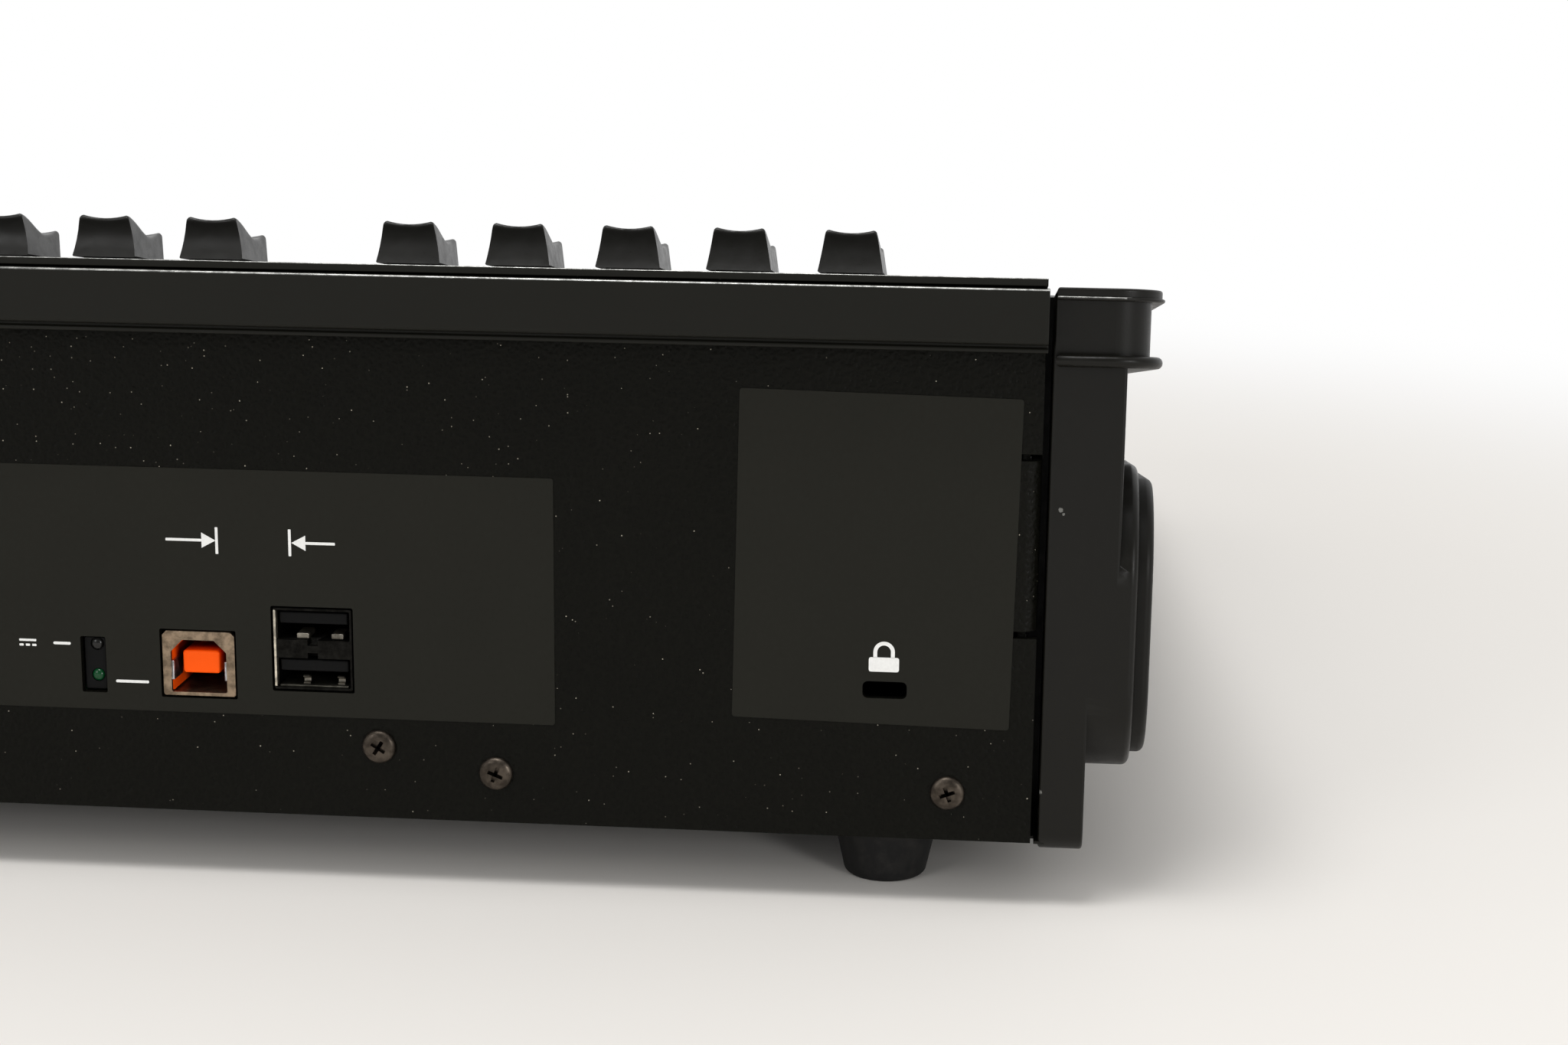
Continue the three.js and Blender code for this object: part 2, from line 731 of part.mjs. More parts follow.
// Double flat socket: a metal shell with two ports, and the insert with both tongues
const flatPortMiddles = () => {
  const middle = up(flatSocket.bottom) + flatSocket.height / 2;
  return [middle - flatPortSpread / 2, middle + flatPortSpread / 2];
};

function flatSocketShell() {
  const { width, height, depth } = flatSocket;
  const middle = acrossPanel(flatSocketMiddle);
  const low = up(flatSocket.bottom);
  const shell = block(
    [middle - width / 2, middle + width / 2],
    [rearPlane - depth, rearPlane],
    [low, low + height],
  );
  const ports = flatPortMiddles().map((z) =>
    block(
      [middle - flatPortWidth / 2, middle + flatPortWidth / 2],
      [rearPlane - depth - cutOverrun, rearPlane + cutOverrun],
      [z - flatPortHeight / 2, z + flatPortHeight / 2],
    ),
  );
  return cut(shell, ...ports);
}

function flatSocketInsert() {
  const { width, height, depth } = flatSocket;
  const middle = acrossPanel(flatSocketMiddle);
  const low = up(flatSocket.bottom);
  const shellRear = rearPlane - depth - seatGap;
  const across = [middle - width / 2, middle + width / 2];
  const boardSeat = up(boardTop) + seatGap;
  const pieces = [
    block(across, [shellRear - flatBack, shellRear], [boardSeat, low + height]),
    block(across, [shellRear - flatBack, rearPlane - panelSheet - seatGap], [boardSeat, low - seatGap]),
  ];
  for (const z of flatPortMiddles()) {
    const high = z + flatPortHeight / 2 - flatTongue.drop;
    pieces.push(
      block(
        [middle - flatTongue.width / 2, middle + flatTongue.width / 2],
        [shellRear - flatBack / 2, rearPlane - flatTongue.setBack],
        [high - flatTongue.height, high],
      ),
    );
  }
  return joined(...pieces);
}

// Power jack: a block with a round collar through the panel, a bore and a middle pin
function powerJack() {
  const middle = acrossPanel(jackMiddle);
  const centre = up(jack.height);
  const blockFace = rearPlane - panelSheet - seatGap;
  const base = up(boardTop) + seatGap;
  const body = block(
    [middle - jack.width / 2, middle + jack.width / 2],
    [rearPlane - jack.depth, blockFace],
    [base, base + jack.rise],
  );
  const collar = levelBar(jackCollarRadius, middle, centre, rearPlane, jack.depth / 2, roundSides / 2);
  const bore = levelBar(jackBoreRadius, middle, centre, rearPlane + cutOverrun, jackBoreDepth + cutOverrun);
  const pinRear = rearPlane - jackPinSetBack;
  const pin = levelBar(jackPinRadius, middle, centre, pinRear, jackBoreDepth, smallSides);
  return cut(joined(body, collar), bore).add(pin);
}

// Status lights: two small lenses in a holder that fills the panel's window
function statusLights() {
  const middle = acrossPanel(lights.middle);
  const low = up(lights.bottom) + socketClearance;
  const high = up(lights.bottom) + lights.height - socketClearance;
  const half = lights.width / 2 - socketClearance;
  const face = rearPlane - lights.setBack;
  const holder = block(
    [middle - half, middle + half],
    [face - lights.depth, face],
    [low, high],
  );
  const lenses = lensRises.map((rise) => {
    const dome = new THREE.SphereGeometry(lensRadius, smallSides, smallSides / 2);
    const place = [middle + lensOffset, face + lensProud - lensRadius, up(lights.bottom) + rise];
    return solid(dome.translate(...place));
  });
  return joined(holder, ...lenses);
}

function socketBoard() {
  const top = up(boardTop);
  const board = block([boardLeft, boardRight], [boardFront, boardRear], [top - boardSheet, top]);
  const holes = postPlaces().map(([x, y]) =>
    upright(postBore, x, y, top - boardSheet - cutOverrun, top + cutOverrun, smallSides),
  );
  return cut(board, ...holes);
}

// Fader board: slide bodies with lever channels and key switches with wells, on one circuit board
function faderBoard() {
  const potTop = -deckSheet - seatGap;
  const sheetTop = potTop - potHeight;
  const potHalf = leverLength / 2 + slotEndClearance + potEnd;
  const places = faderPlaces();
  const xs = places.map(([x]) => x);
  const zeros = places.map(([, zero]) => zero);
  const side = potWidth / 2 + faderBoardMargin;
  const rearEdge = Math.max(...zeros) + faderTravel + potHalf + seatGap;
  const frontEdge = Math.min(...zeros) - keyOffset - switchWidth / 2 - seatGap;
  const pieces = [
    block(
      [Math.min(...xs) - side, Math.max(...xs) + side],
      [frontEdge, rearEdge],
      [sheetTop - boardSheet, sheetTop],
    ),
  ];
  const cutters = [];
  const underFlange = -deckSheet - seatGap - keyFlange;
  const switchTop = underFlange - keyTravel - seatGap;
  const wellBottom = underFlange - plungerLength - keyTravel - seatGap;
  const overlap = boardSheet / 2;
  for (const [x, zero] of places) {
    pieces.push(
      block(
        [x - potWidth / 2, x + potWidth / 2],
        [zero - potHalf, zero + faderTravel + potHalf],
        [sheetTop - overlap, potTop],
      ),
    );
    const half = leverWidth / 2 + runClearance;
    const end = leverLength / 2 + slotEndClearance;
    cutters.push(
      block(
        [x - half, x + half],
        [zero - end, zero + faderTravel + end],
        [-leverDepth - runClearance, potTop + cutOverrun],
      ),
    );
    const key = zero - keyOffset;
    pieces.push(
      block(
        [x - switchWidth / 2, x + switchWidth / 2],
        [key - switchWidth / 2, key + switchWidth / 2],
        [sheetTop - overlap, switchTop],
      ),
    );
    const wellRadius = plungerRadius + plungerRunClearance;
    cutters.push(upright(wellRadius, x, key, wellBottom, switchTop + cutOverrun, smallSides));
  }
  return cut(joined(...pieces), ...cutters);
}

// Height of a cap's top over the deck, by the share of its length from the rear crest
function capTopAt(share) {
  const crest = capClearance + capHeight;
  if (share < saddleShare) {
    return crest - (saddleDrop * (1 - Math.cos((Math.PI * share) / saddleShare))) / 2;
  }
  const rise = (share - saddleShare) / (1 - saddleShare);
  return crest - saddleDrop + (saddleDrop - tipDrop) * rise * rise;
}

// One cross-section of a cap's body: [x, y, z] points round it, bottom edge first
function capRing(share, edgeAngle) {
  const crest = capClearance + capHeight;
  const bottom = crest - capBodyHeight;
  const round = edgeAngle === null ? 0 : capEdge * (1 - Math.sin(edgeAngle));
  const top = capTopAt(share) - round;
  const halfAt = (z) => capTopWidth / 2 + (crest - z) * capFlareShare;
  const topHalf = halfAt(top) - capEdge;
  const yTop = capLength / 2 - share * capLength;
  const yBottom = capLength / 2 - share * (capLength - capUndercut);
  const dish = capDishShares.map((place) => [
    place * topHalf,
    yTop,
    top - capDish * (1 - place * place),
  ]);
  return [
    [-halfAt(bottom), yBottom, bottom],
    [halfAt(bottom), yBottom, bottom],
    [halfAt(top - capEdge), yTop, top - capEdge],
    ...dish,
    [-halfAt(top - capEdge), yTop, top - capEdge],
  ];
}

// Joins rings of equal point counts into one closed skin
function loft(rings) {
  const count = rings[0].length;
  const indices = [];
  for (let ring = 0; ring + 1 < rings.length; ring += 1) {
    for (let i = 0; i < count; i += 1) {
      const next = (i + 1) % count;
      const a = ring * count + i;
      const b = ring * count + next;
      indices.push(a, b, b + count, a, b + count, a + count);
    }
  }
  const last = (rings.length - 1) * count;
  for (let i = 1; i + 1 < count; i += 1) {
    indices.push(0, i + 1, i);
    indices.push(last, last + i, last + i + 1);
  }
  const geometry = new THREE.BufferGeometry();
  geometry.setAttribute("position", new THREE.Float32BufferAttribute(rings.flat(2), 3));
  geometry.setIndex(indices);
  return solid(geometry);
}

// Fader: a cap with a rear hump, a saddle, a raised front tip and an inset skirt, on its lever
function fader() {
  const crest = capClearance + capHeight;
  const bottom = crest - capBodyHeight;
  const edgeShare = capEdge / capLength;
  const rearEdge = capEdgeAngles.map((angle) => [edgeShare * (1 - Math.cos(angle)), angle]);
  const frontEdge = rearEdge.map(([share, angle]) => [1 - share, angle]).reverse();
  const stations = [...rearEdge, ...capStationShares.map((share) => [share, null]), ...frontEdge];
  const body = loft(stations.map(([share, angle]) => capRing(share, angle)));
  const scoopHalf = (capBodyHeight - capEdge) / 2;
  const scoopRadius = (scoopHalf * scoopHalf + scoopDepth * scoopDepth) / (2 * scoopDepth);
  const scoop = new THREE.CylinderGeometry(scoopRadius, scoopRadius, 2 * capLength, scoopSides);
  scoop.rotateZ(Math.PI / 2);
  scoop.translate(0, capLength / 2 + scoopRadius - scoopDepth, bottom + scoopHalf);
  const halfWidth = capTopWidth / 2 + capBodyHeight * capFlareShare - skirtInset;
  const skirt = rectangle(
    -halfWidth,
    halfWidth,
    capUndercut + skirtInset - capLength / 2,
    capLength / 2 - skirtInset,
    skirtCorner,
  );
  const lever = block(
    [-leverWidth / 2, leverWidth / 2],
    [-leverLength / 2, leverLength / 2],
    [-leverDepth, bottom],
  );
  return joined(
    cut(body, solid(scoop)),
    prism(skirt, bottom - capClearance + capEdge, upFrom(capClearance), 1),
    lever,
  );
}

// Flash key: a soft-edged key with a flange that the deck holds down and a switch plunger
function flashKey() {
  const flangeTop = -deckSheet - seatGap;
  const flangeBottom = flangeTop - keyFlange;
  const halfWidth = keyWidth / 2;
  const halfLength = keyLength / 2;
  const face = rectangle(-halfWidth, halfWidth, -halfLength, halfLength, keyCorner);
  const flange = rectangle(
    -halfWidth - keyFlange,
    halfWidth + keyFlange,
    -halfLength - keyFlange,
    halfLength + keyFlange,
  );
  return joined(
    softPrism(face, keyProud - flangeBottom, keyEdge, upFrom(flangeBottom), 1),
    prism(flange, keyFlange, upFrom(flangeBottom)),
    upright(plungerRadius, 0, 0, flangeBottom - plungerLength, flangeTop, smallSides),
  );
}

// Assembly
const wing = new THREE.Group();
wing.name = "fader_wing";
wing.add(deckFrame);
addMesh(wing, "base_pan", basePan(), coatedSheet());
addMesh(wing, "rear_panel", rearPanel(), coatedSheet());
addMesh(wing, "top_panel", deck(), coatedSheet());
addMesh(wing, "rear_rail", rearRail(), satinRail());
const cheekBody = cheek();
const bossBody = sideBoss();
for (const [side, name] of [[1, "right"], [-1, "left"]]) {
  addMesh(wing, `${name}_cheek`, cheekBody, moulding()).scale.x = side;
  addMesh(wing, `${name}_side_boss`, bossBody, moulding()).scale.x = side;
}

const footBody = foot();
const footX = housingHalf - footInset;
const footY = rearPlane - footRearInset;
for (const [end, y] of [["rear", footY], ["front", -footY]])
  for (const [side, x] of [["left", -footX], ["right", footX]])
    addMesh(wing, `foot_${end}_${side}`, footBody, softRubber()).position.set(x, y, 0);

addMesh(wing, "usb_b_shell", squareSocketShell(), platedMetal());
addMesh(wing, "usb_b_insert", squareSocketInsert(), orangePlastic());
addMesh(wing, "usb_a_shell", flatSocketShell(), platedMetal());
addMesh(wing, "usb_a_insert", flatSocketInsert(), blackPlastic());
addMesh(wing, "power_jack", powerJack(), blackPlastic());
addMesh(wing, "status_lights", statusLights(), blackPlastic());
addMesh(wing, "socket_board", socketBoard(), circuitBoard());
addMesh(deckFrame, "fader_board", faderBoard(), circuitBoard());

const faderBody = fader();
const keyBody = flashKey();
faderPlaces().forEach(([x, zero], i) => {
  const label = `${rowNames[Math.floor(i / faderCount)]}_${String((i % faderCount) + 1).padStart(2, "0")}`;
  addMesh(deckFrame, `fader_${label}`, faderBody, capPlastic()).position.set(x, zero, 0);
  addMesh(deckFrame, `key_${label}`, keyBody, keyPlastic()).position.set(x, zero - keyOffset, 0);
});

export default wing;
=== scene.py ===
"""Lighting fader wing: the finish of the housing, sockets, faders and keys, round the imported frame."""
import math

import bmesh
import bpy
from bpy.props import FloatProperty, FloatVectorProperty, IntProperty, PointerProperty
from mathutils import Matrix, Vector


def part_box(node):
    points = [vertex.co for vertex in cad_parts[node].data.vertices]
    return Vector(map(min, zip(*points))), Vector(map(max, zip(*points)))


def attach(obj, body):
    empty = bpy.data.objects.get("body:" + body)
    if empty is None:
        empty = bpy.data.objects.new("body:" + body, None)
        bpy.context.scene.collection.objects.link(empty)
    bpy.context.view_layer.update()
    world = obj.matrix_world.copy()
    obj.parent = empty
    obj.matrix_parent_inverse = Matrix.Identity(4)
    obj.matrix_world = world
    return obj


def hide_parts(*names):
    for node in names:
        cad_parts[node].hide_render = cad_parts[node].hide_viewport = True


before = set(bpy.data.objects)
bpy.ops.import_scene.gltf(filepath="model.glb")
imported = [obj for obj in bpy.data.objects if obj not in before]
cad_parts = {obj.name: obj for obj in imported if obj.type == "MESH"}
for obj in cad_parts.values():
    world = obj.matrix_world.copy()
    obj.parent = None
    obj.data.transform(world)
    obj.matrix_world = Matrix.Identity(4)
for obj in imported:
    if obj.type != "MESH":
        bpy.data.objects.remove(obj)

bl_info = {
    "name": "Lighting fader wing",
    "version": (1, 0, 0),
    "blender": (4, 5, 0),
    "location": "View3D > Sidebar > Fader wing",
    "description": "Builds the housing, sockets, faders and keys of a lighting fader wing",
    "category": "Object",
}

MM = 0.001

# Places taken from the frame
PANEL_LOW, PANEL_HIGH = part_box("rear_panel")
RAIL_LOW, RAIL_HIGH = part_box("rear_rail")
DECK_LOW, DECK_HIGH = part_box("top_panel")
CHEEK_LOW, CHEEK_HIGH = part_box("right_cheek")
BOSS_LOW, BOSS_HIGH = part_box("right_side_boss")
FOOT_LOW, FOOT_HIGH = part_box("foot_rear_left")
FOOT_NODES = ("foot_rear_left", "foot_rear_right", "foot_front_left", "foot_front_right")
HOUSING_HALF = PANEL_HIGH.x
REAR_PLANE = PANEL_HIGH.y
FRONT_PLANE = DECK_LOW.y
PAN_BOTTOM = PANEL_LOW.z
DECK_SLOPE = math.radians(9.5)
DECK_SHEET = 1.2 * MM
ROW_ZEROS = {
    "rear": 126.4 * MM,
    "front": (DECK_HIGH.y - DECK_LOW.y) / math.cos(DECK_SLOPE) - 38 * MM,
}
FADERS_PER_ROW = 10
FADER_TRAVEL = 60 * MM
KEY_OFFSET = 23.7 * MM
FADER_LABELS = [f"{row}_{i + 1:02d}" for row in ROW_ZEROS for i in range(FADERS_PER_ROW)]
DECK_FRAME = Matrix.Translation((0, DECK_HIGH.y, DECK_HIGH.z)) @ Matrix.Rotation(DECK_SLOPE, 4, "X")


def deck_top(y):
    """Height of the deck's surface at a place along Y."""
    return DECK_HIGH.z - (DECK_HIGH.y - y) * math.tan(DECK_SLOPE)


def measure(name, millimetres, description):
    """A property that holds a length."""
    return FloatProperty(name=name, description=description, default=millimetres * MM, unit="LENGTH")


def tint(name, description, default):
    """A property that holds a colour."""
    return FloatVectorProperty(name=name, description=description, subtype="COLOR", size=3, default=default)


class WingSizes(bpy.types.PropertyGroup):
    """Sizes of the finishing work, none of which moves a piece of the frame."""

    sheet_edge: measure("Sheet edge", 0.25, "Rounding of cut sheet edges")
    moulding_edge: measure("Moulding edge", 0.5, "Rounding of the cheeks' edges")
    wrinkle_size: measure("Wrinkle size", 0.7, "Width of one wrinkle of the powder coat")
    film_thickness: measure("Film thickness", 0.12, "Thickness of the stuck-on plates")
    print_thickness: measure("Print thickness", 0.03, "Thickness of printed marks")
    screw_head: measure("Screw head", 5.6, "Diameter of a panel screw's head")
    cap_edge: measure("Cap edge", 0.7, "Rounding of a fader cap's edges")
    cap_rings: IntProperty(
        name="Cap rings", description="Cross-sections along a fader cap", default=26, min=8
    )


class WingColours(bpy.types.PropertyGroup):
    """Colours of the finishes."""

    coat: tint("Wrinkle coat", "Powder coat of the sheets", (0.0036, 0.0035, 0.0024))
    satin: tint("Satin coat", "Smooth coat of the rear rail", (0.007, 0.0068, 0.0048))
    moulding: tint("Moulding", "End cheeks and side bosses", (0.0052, 0.0048, 0.0034))
    film: tint("Plate film", "Stuck-on plates", (0.0105, 0.0102, 0.0072))
    marks: tint("Printed marks", "Printed signs", (0.78, 0.78, 0.76))
    cap: tint("Fader cap", "Moulded caps", (0.0128, 0.0124, 0.0108))
    key: tint("Flash key", "Moulded keys", (0.028, 0.029, 0.031))
    orange: tint("Socket insert", "Insert of the square socket", (1.0, 0.1, 0.002))
    metal: tint("Plated metal", "Socket shells", (0.3, 0.225, 0.155))


# Nicks on the left cheek's rear edge: a place and a radius
WORN_SPOTS = [
    ((-146.30 * MM, REAR_PLANE, 19.60 * MM), 0.42 * MM),
    ((-148.25 * MM, REAR_PLANE, 65.60 * MM), 0.36 * MM),
    ((-148.75 * MM, REAR_PLANE, 64.90 * MM), 0.2 * MM),
]


# Node-tree helpers

# Most of a noise's values lie between these
NOISE_SPAN = (0.3, 0.7)
SCALAR_RESULTS = ("DISTANCE", "DOT_PRODUCT", "LENGTH")


class Graph:
    """A small helper that adds and links the nodes of one material or geometry tree."""

    def __init__(self, tree):
        self.tree = tree

    def add(self, kind, **inputs):
        return self.set(self.tree.nodes.new(kind), **inputs)

    def set(self, node, **inputs):
        """Feeds inputs by their names, an underscore standing for a space."""
        for name, value in inputs.items():
            self.feed(node, name.replace("_", " "), value)
        return node

    def feed(self, node, name, value):
        """Feeds an input, found by its number or name, with a socket or a plain value."""
        socket = node.inputs[name] if isinstance(name, int) else next(
            s for s in node.inputs if s.name.lower() == name.lower() and s.enabled
        )
        if isinstance(value, bpy.types.NodeSocket):
            self.tree.links.new(value, socket)
        else:
            socket.default_value = value

    def sequence(self, kind, operation, values):
        """A node with an operation, its inputs fed in order."""
        node = self.tree.nodes.new(kind)
        node.operation = operation
        for index, value in enumerate(values):
            self.feed(node, index, value)
        return node.outputs

    def math(self, operation, a, b=0.0):
        return self.sequence("ShaderNodeMath", operation, (a, b))[0]

    def vectors(self, operation, *values):
        outputs = self.sequence("ShaderNodeVectorMath", operation, values)
        return outputs["Value" if operation in SCALAR_RESULTS else "Vector"]

    def split(self, vector):
        return self.add("ShaderNodeSeparateXYZ", Vector=vector).outputs

    def vector(self, **parts):
        return self.add("ShaderNodeCombineXYZ", **parts).outputs["Vector"]

    def spread(self, value, low, high, to_low=0.0, to_high=1.0):
        """A value taken from one range to another."""
        node = self.add("ShaderNodeMapRange", Value=value, From_Min=low, From_Max=high,
                        To_Min=to_low, To_Max=to_high)
        return node.outputs["Result"]

    def noise(self, where, size, detail=3.0, roughness=0.5):
        node = self.add("ShaderNodeTexNoise", Vector=where, Scale=1 / size, Detail=detail,
                        Roughness=roughness)
        return node.outputs[0]

    def stretched(self, where, scale):
        return self.add("ShaderNodeMapping", Vector=where, Scale=scale).outputs["Vector"]

    def shade(self, factor, dark, light):
        """A mix of two colours, each a socket or three values."""
        node = self.tree.nodes.new("ShaderNodeMix")
        node.data_type = "RGBA"
        for index, value in ((0, factor), (6, dark), (7, light)):
            self.feed(node, index, (*value, 1) if isinstance(value, tuple) else value)
        return node.outputs[2]

    def tones(self, factor, colour, low, high):
        """A colour between two shares of itself."""
        return self.shade(factor, scaled(colour, low), scaled(colour, high))

    def bump(self, shader, height, distance):
        bump = self.add("ShaderNodeBump", Strength=1.0, Distance=distance, Height=height)
        self.feed(shader, "Normal", bump.outputs["Normal"])


def new_material(name):
    """A material with a cleared tree, its graph, its principled shader and its coordinates."""
    material = bpy.data.materials.new(name)
    material.use_nodes = True
    graph = Graph(material.node_tree)
    material.node_tree.nodes.clear()
    shader = graph.add("ShaderNodeBsdfPrincipled")
    graph.add("ShaderNodeOutputMaterial", Surface=shader.outputs["BSDF"])
    return material, graph, shader, graph.add("ShaderNodeTexCoord").outputs["Object"]


def scaled(colour, factor):
    return tuple(min(1.0, channel * factor) for channel in colour)


def worn_spots(graph, where, base, spots):
    """Small pale nicks with ragged rims at the given places."""
    ragged = graph.noise(where, 0.35 * MM, 3, 0.7)
    for place, radius in spots:
        reach = graph.math("MULTIPLY", ragged, 2 * radius)
        inside = graph.math("LESS_THAN", graph.vectors("DISTANCE", where, place), reach)
        base = graph.shade(inside, base, (0.13, 0.13, 0.12))
    return base


def plastic(name, colour, roughness, grain, depth, variation=0.18, specular=0.5, spots=()):
    """A moulded plastic: fine grain in the bump, slow changes of tone and gloss, faint handling marks."""
    material, graph, shader, where = new_material(name)
    fine = graph.noise(where, grain, 2)
    tone = graph.tones(graph.noise(where, 14 * MM, 2), colour, 1 - variation, 1 + variation)
    if spots:
        tone = worn_spots(graph, where, tone, spots)
    marks = graph.noise(where, 3 * MM, 4, 0.7)
    gloss = graph.math("ADD", graph.spread(marks, 0.35, 0.7, roughness - 0.05, roughness + 0.07),
                       graph.spread(fine, *NOISE_SPAN, -0.03, 0.03))
    graph.set(shader, Base_Color=tone, Roughness=gloss, Specular_IOR_Level=specular)
    graph.bump(shader, fine, depth)
    return material


def wrinkle_coat(colours, sizes):
    """Powder coat: a net of soft wrinkles with tiny glints, worn a little smoother in places."""
    material, graph, shader, where = new_material("wrinkle_coat")
    size = sizes.wrinkle_size
    warp = graph.add("ShaderNodeTexNoise", Vector=where, Scale=1 / (2 * size), Detail=2.0)
    moved = graph.vectors("MULTIPLY_ADD", warp.outputs["Color"], (size, size, size), where)
    cells = graph.add("ShaderNodeTexVoronoi", Scale=1 / size, Vector=moved)
    cells.feature = "SMOOTH_F1"
    ridges = graph.spread(cells.outputs["Distance"], 0.1, 0.75)

    def with_ridges(share, other):
        rest = graph.math("MULTIPLY", other, 1 - share)
        return graph.math("ADD", graph.math("MULTIPLY", ridges, share), rest)

    height = with_ridges(0.75, graph.noise(where, size / 2, 3, 0.6))
    coat = graph.tones(with_ridges(0.55, graph.noise(where, 22 * MM, 3)), tuple(colours.coat), 0.72, 1.35)
    glint = graph.noise(where, size / 3, 1, 0.4)
    # The base colour carries painted glints
    graph.set(shader, Base_Color=with_painted_glints(graph, where, coat), Specular_IOR_Level=0.075,
              Roughness=graph.spread(glint, 0.3, 0.72, 0.62, 0.3))
    graph.bump(shader, height, size * 0.24)
    return material


def with_painted_glints(graph, where, base):
    """Pale specks in the coat's colour that paint its glints, most of them toward the right end and the top
    of the housing.
    """
    cells = graph.add("ShaderNodeTexVoronoi", Vector=where, Scale=1 / (0.5 * MM))
    drawn = graph.split(cells.outputs["Color"])
    parts = graph.split(where)
    lean = graph.math("ADD", parts["X"], graph.math("MULTIPLY", parts["Z"], 1.6))
    chosen = graph.math("GREATER_THAN", drawn["X"], graph.spread(lean, 0.05, 0.26, 0.955, 0.8))
    size = graph.spread(drawn["Y"], 0, 1, 0.06, 0.2)
    small = graph.math("LESS_THAN", cells.outputs["Distance"], size)
    painted_glint_tone = graph.shade(drawn["Z"], (0.05, 0.045, 0.036), (0.4, 0.37, 0.3))
    return graph.shade(graph.math("MULTIPLY", chosen, small), base, painted_glint_tone)


def satin_coat(colours):
    """Smooth coat of the rail: a very fine peel and faint lengthwise rubbing."""
    material, graph, shader, where = new_material("satin_coat")
    rubbed = graph.noise(graph.stretched(where, (0.06, 1, 1)), 1.4 * MM, 4, 0.65)
    tone = graph.tones(graph.noise(where, 35 * MM, 2), tuple(colours.satin), 0.9, 1.12)
    graph.set(shader, Base_Color=tone, Specular_IOR_Level=0.16,
              Roughness=graph.spread(rubbed, *NOISE_SPAN, 0.4, 0.5))
    graph.bump(shader, graph.noise(where, 0.45 * MM, 2), 0.006 * MM)
    return material


def film(colours):
    """Matt film of the stuck-on plates, with the faint shadow of the coat under it."""
    material, graph, shader, where = new_material("plate_film")
    tone = graph.tones(graph.noise(where, 12 * MM, 3), tuple(colours.film), 0.93, 1.08)
    telegraph = graph.noise(where, 0.9 * MM, 2)
    graph.set(shader, Base_Color=tone, Specular_IOR_Level=0.14,
              Roughness=graph.spread(telegraph, *NOISE_SPAN, 0.54, 0.66))
    graph.bump(shader, telegraph, 0.012 * MM)
    return material


def printed(colours, name="printed_marks", tone=1.0):
    """Screen print: thin ink with uneven cover."""
    material, graph, shader, where = new_material(name)
    thin = graph.noise(where, 0.35 * MM, 3)
    graph.set(shader, Base_Color=graph.tones(thin, scaled(colours.marks, tone), 0.86, 1.05),
              Roughness=graph.spread(thin, *NOISE_SPAN, 0.45, 0.6))
    return material


def rubber():
    """Foot rubber with a film of dust."""
    material, graph, shader, where = new_material("foot_rubber")
    dust = graph.noise(where, 2.5 * MM, 5, 0.7)
    tone = graph.shade(graph.spread(dust, 0.45, 0.8), (0.008, 0.008, 0.008), (0.022, 0.021, 0.019))
    graph.set(shader, Base_Color=tone, Specular_IOR_Level=0.2,
              Roughness=graph.spread(dust, *NOISE_SPAN, 0.62, 0.82))
    graph.bump(shader, graph.noise(where, 0.3 * MM, 2), 0.01 * MM)
    return material


def orange_with_painted_shade(colours):
    """The insert's moulding: vivid at its rear face, darker down the hollow with painted shade."""
    material, graph, shader, where = new_material("socket_orange")
    colour = tuple(colours.orange)
    parts = graph.split(where)
    # Painted shade: the colour darkens with depth into the hollow, and lower down it stays vivid further in
    below = graph.spread(parts["Z"], PAN_BOTTOM + 22.4 * MM, PAN_BOTTOM + 23.2 * MM, 5 * MM, 0)
    lit = graph.math("ADD", parts["Y"], below)
    depth = graph.spread(lit, REAR_PLANE - 4.6 * MM, REAR_PLANE - 1.9 * MM)
    fine = graph.noise(where, 0.12 * MM, 2)
    mix = graph.math("MULTIPLY", depth, graph.spread(fine, *NOISE_SPAN, 0.92, 1.0))
    painted_shade_tone = (colour[0] * 0.16, colour[1] * 0.08, colour[2] * 0.1)
    graph.set(shader, Base_Color=graph.shade(mix, painted_shade_tone, colour), Specular_IOR_Level=0.12,
              Roughness=graph.spread(fine, *NOISE_SPAN, 0.4, 0.48))
    graph.bump(shader, fine, 0.003 * MM)
    return material


def metal(name, colour, roughness, brushed=(1, 1, 1)):
    """Plated or drawn metal: stretched scratches, small stains and a soft change of gloss."""
    material, graph, shader, where = new_material(name)
    lines = graph.noise(graph.stretched(where, brushed), 0.22 * MM, 4, 0.6)
    stains = graph.spread(graph.noise(where, 1.6 * MM, 4, 0.65), 0.38, 0.62)
    graph.set(shader, Base_Color=graph.tones(stains, colour, 0.5, 1.15), Metallic=1.0,
              Roughness=graph.spread(lines, *NOISE_SPAN, roughness - 0.08, roughness + 0.12))
    graph.bump(shader, lines, 0.004 * MM)
    return material


def lens(name, colour):
    """A small cast lens, tinted through, with a faint cloud in it."""
    material, graph, shader, where = new_material(name)
    cloud = graph.noise(where, 0.8 * MM, 2)
    graph.set(shader, Base_Color=graph.tones(cloud, colour, 0.8, 1.0), Transmission_Weight=0.1, IOR=1.5,
              Roughness=graph.spread(cloud, *NOISE_SPAN, 0.16, 0.2), Specular_IOR_Level=0.3)
    return material


def circuit_board():
    """Solder mask over faint copper lines."""
    material, graph, shader, where = new_material("solder_mask")
    gloss = graph.spread(graph.noise(where, 4 * MM), *NOISE_SPAN, 0.32, 0.45)
    graph.set(shader, Base_Color=copper_lines(graph, where), Roughness=gloss)
    return material


def copper_lines(graph, where):
    lines = graph.add("ShaderNodeTexBrick", Vector=where, Scale=1 / (9 * MM), Mortar_Size=0.03)
    return graph.shade(lines.outputs["Fac"], (0.012, 0.075, 0.03), (0.03, 0.14, 0.055))


